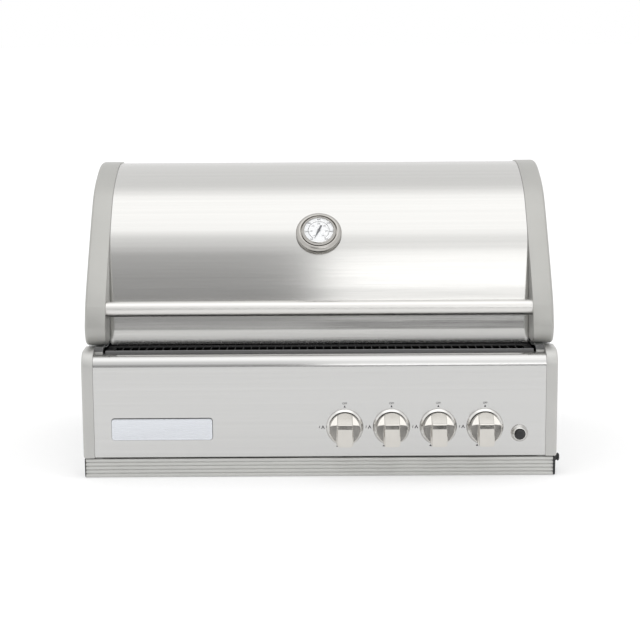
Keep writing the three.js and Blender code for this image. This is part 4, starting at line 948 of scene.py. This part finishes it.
IGNITER_X, IGNITER_UP = 349.0, 77.0
igniter_frame = fascia_frame(IGNITER_X, IGNITER_UP)
housing = lathe("igniter_ring", [
    (9.3, -30), (11, -38), (11, 0.3), (14.6, 0.3), (15, 0.7), (15, 1.8), (14.4, 3.0), (12.6, 5.6),
    (11.4, 8.2), (10.8, 9.0), (10.0, 9.2), (9.4, 8.7), (9.0, 7.4), (9.0, -30), (9.3, -30),
], igniter_frame, 72, 40)
dress(housing, "grill", "polished_steel", chrome, "igniter_housing")
button = lathe("igniter_button_cap", [
    (0, -12), (8.5, -12), (8.7, -11.6), (8.7, 10.6), (8.4, 12.0), (7.4, 13.2), (5.6, 14.0), (3.2, 14.4),
    (0, 14.5),
], igniter_frame, 64, 40)
dress(button, "igniter", "black_plastic", black, "igniter_button")

# Drip tray's grooved front rail

RIBS, RIB_STEPS, GROOVE = 5, 12, 1.6
RAIL_LOW, RAIL_HIGH, RAIL_BACK, RAIL_TOP_FRONT = 1.0, 34.0, 13.5, 0.5
RAIL_LEFT, RAIL_RIGHT, RAIL_ROUND = -411.5, 409.0, 0.3
rib_pitch = (RAIL_HIGH - RAIL_LOW) / RIBS
rail_outline = [(RAIL_BACK, RAIL_LOW)]
for i in range(RIBS):
    for step in range(RIB_STEPS):
        share = step / RIB_STEPS
        depth = GROOVE * max(0.0, math.cos(math.tau * share)) ** 1.5
        if i == 0 and share < 0.25:
            depth = GROOVE * (1 - share * 4) ** 2
        rail_outline.append((depth, RAIL_LOW + rib_pitch * (i + share)))
rail_outline += [(RAIL_TOP_FRONT, RAIL_HIGH), (RAIL_BACK, RAIL_HIGH)]
rail = prism("tray_front_rail", rail_outline, RAIL_LEFT, RAIL_RIGHT, RAIL_ROUND, RAIL_ROUND, 50, steps=2)
dress(rail, "tray", "satin_casting", rail_satin, "tray_front")

# Drip tray's end plates

PLATE_PROUD, PLATE_BEND, PLATE_BEND_STEPS, PLATE_ROUNDS = 1.0, 7.75, 10, (0.2, 0.6)
PLATE_OUTER = 413.0
PLATE_INNER = {"left": 411.7, "right": 409.3}
plate_outline = [
    (RAIL_BACK, RAIL_HIGH), (-0.2, RAIL_HIGH), (-PLATE_PROUD, 33.2),
    *arc(PLATE_BEND - PLATE_PROUD, PLATE_BEND, PLATE_BEND, 180, 270, PLATE_BEND_STEPS), (RAIL_BACK, 0),
]
for name, side in SIDES:
    end_plate = prism(
        f"tray_end_cap_{name}_plate", plate_outline,
        side * PLATE_INNER[name], side * PLATE_OUTER, *PLATE_ROUNDS, 40, steps=3,
    )
    dress(end_plate, "tray", "black_plastic", black, f"tray_end_cap_{name}")

# Transit cap on the gas inlet

INLET_X, INLET_BACK, INLET_UP = 410.0, 34.0, 25.0
INLET_LENGTH, RIDGES, FIRST_RIDGE = 14.0, 3, 0.3
ridge_points = ((5.8, 0.6), (6.7, 0.9), (7, 1.3), (7, 2.7), (6.7, 3.1), (5.8, 3.4))
inlet_profile = [(5.3, 0), (5.8, 0)]
for i in range(RIDGES):
    start = INLET_LENGTH / RIDGES * i + FIRST_RIDGE
    inlet_profile += [(radius, start + along) for radius, along in ridge_points]
inlet_profile += [(5.8, 13.7), (5.4, INLET_LENGTH), (0, INLET_LENGTH), (0, 12.3), (5.3, 12.3), (5.3, 0)]
inlet_frame = local_frame(INLET_X, INLET_BACK, INLET_UP, QUARTER, "Y")
inlet_cap = lathe("gas_inlet_cap_moulding", inlet_profile, inlet_frame, 40, 40)
dress(inlet_cap, "grill", "black_plastic", black, "gas_inlet_cap")

# Folded sheets, grates and trays with their edges softened

for width, body, slot, material, nodes in (
    (0.4, "grill", "sheet_steel", sheet, (
        "body_side_left", "body_side_right", "body_rear", "base_pan",
        "firebox_left", "firebox_right", "firebox_rear",
    )),
    # The firebox front, seen through the vent, in near black
    (0.3, "grill", "black_enamel", firebox_black, ("firebox_front",)),
    (0.4, "tray", "sheet_steel", sheet, ("drip_tray",)),
    (0.3, "lid", "sheet_steel", sheet, ("lid_liner",)),
    (1.2, "grill", "cast_iron", iron, ("grate_left", "grate_middle", "hotplate")),
    (0.4, "grill", "burner_steel", burner_steel, [f"flame_tamer_{i}" for i in range(1, 5)]),
):
    for node in nodes:
        dress(softened(node, width), body, slot, material, node)

# Camera

CAMERA_BACK, CAMERA_UP, TILT, ROLL = -3.12415, 0.781, 10.0, 0.33
camera_data = bpy.data.cameras.new("camera")
camera_data.lens = 93.9
camera_data.sensor_width = 36.0
camera_data.shift_x = 0.0011
camera_data.clip_start, camera_data.clip_end = 0.05, 200.0
camera = bpy.data.objects.new("camera", camera_data)
bpy.context.scene.collection.objects.link(camera)
camera.matrix_world = (
    Matrix.Translation((0, CAMERA_BACK, CAMERA_UP)) @ Matrix.Rotation(math.radians(90 - TILT), 4, "X")
    @ Matrix.Rotation(math.radians(-ROLL), 4, "Z")
)
bpy.context.scene.camera = camera

# Studio: a pale floor in a light tent

bpy.context.scene.view_settings.view_transform = "Standard"

FLOOR_HALF, FLOOR_GREY, FLOOR_LIFT = 60.0, 0.62, 0.4
floor = mesh_object("floor", [
    (x * FLOOR_HALF, y * FLOOR_HALF, 0) for x, y in ((-1, -1), (1, -1), (1, 1), (-1, 1))
], [(0, 1, 2, 3)])
paint = Finish("floor_paint", (FLOOR_GREY,) * 3, 0.9, 0.0)
paint.shader.inputs["Specular IOR Level"].default_value = 0.0
paint.shader.inputs["Emission Color"].default_value = (1, 1, 1, 1)
rays = paint.node("ShaderNodeLightPath")
seen = math_node(paint.tree, "MAXIMUM", rays.outputs["Is Camera Ray"], rays.outputs["Is Glossy Ray"])
seen = math_node(paint.tree, "MAXIMUM", seen, rays.outputs["Is Transmission Ray"])
paint.link(math_node(paint.tree, "MULTIPLY", seen, FLOOR_LIFT), paint.shader.inputs["Emission Strength"])
floor.data.materials.append(paint.material)

# Where the tent's soft edges start and end, in shares of a direction's length
NEAREST = 0.05
SIDE_EDGE, FRONT_EDGE, MIDDLE_EDGE = (0.35, 0.6), (0.05, 0.5), (-0.013, 0.013)
OPENING_TOP, FOOT_TOP, CARD_TOP = (0.2, 0.62), (0.13, 0.19), (0.8, 0.97)
CARD_FADE, OVERHEAD_FOOT, OVERHEAD_FRONT = (0.24, 0.5), (0.7, 0.99), (-0.55, 0.08)
# What each part adds to the tent's brightness of 1
OPENING_LIGHT, FOOT_LIGHT, OVERHEAD_LIGHT, CARD_LIGHT, CARD_FADE_LIGHT = -0.6, -0.98, 0.62, 1.1, -0.85


def backdrop():
    """A light tent, white but for what stands in front of the grill, and brighter overhead.

    In front it has a dark opening on the left and, on the right, a dark foot under a bright card.
    """
    world = bpy.data.worlds.new("studio")
    bpy.context.scene.world = world
    world.use_nodes = True
    tree = world.node_tree
    background = tree.nodes["Background"]
    where = tree.nodes.new("ShaderNodeTexCoord")
    split = tree.nodes.new("ShaderNodeSeparateXYZ")
    tree.links.new(where.outputs["Generated"], split.inputs["Vector"])

    def plus(a, b):
        return math_node(tree, "ADD", a, b)

    def minus(a, b):
        return math_node(tree, "SUBTRACT", a, b)

    def times(a, b):
        return math_node(tree, "MULTIPLY", a, b)

    def rise(value, edge):
        """From 0 to 1 over a soft edge."""
        made = tree.nodes.new("ShaderNodeMapRange")
        made.interpolation_type = "SMOOTHSTEP"
        made.inputs["From Min"].default_value, made.inputs["From Max"].default_value = edge
        tree.links.new(value, made.inputs["Value"])
        return made.outputs["Result"]

    x, y, z = split.outputs["X"], split.outputs["Y"], split.outputs["Z"]
    forward = times(y, -1.0)
    sideways = math_node(tree, "DIVIDE", x, math_node(tree, "MAXIMUM", forward, NEAREST))
    inside = minus(1.0, rise(math_node(tree, "ABSOLUTE", sideways), SIDE_EDGE))
    front = times(rise(forward, FRONT_EDGE), inside)
    front_right = times(front, rise(sideways, MIDDLE_EDGE))
    front_left = minus(front, front_right)
    opening = times(front_left, minus(1.0, rise(z, OPENING_TOP)))
    foot = times(front_right, minus(1.0, rise(z, FOOT_TOP)))
    card = times(front_right, minus(rise(z, FOOT_TOP), rise(z, CARD_TOP)))
    card_light = plus(CARD_LIGHT, times(rise(z, CARD_FADE), CARD_FADE_LIGHT))
    overhead = times(rise(z, OVERHEAD_FOOT), rise(forward, OVERHEAD_FRONT))
    level = 1.0
    for part, light in (
        (opening, OPENING_LIGHT), (foot, FOOT_LIGHT), (overhead, OVERHEAD_LIGHT), (card, card_light),
    ):
        level = plus(level, times(part, light))
    background.inputs["Color"].default_value = (1, 1, 1, 1)
    tree.links.new(level, background.inputs["Strength"])


backdrop()
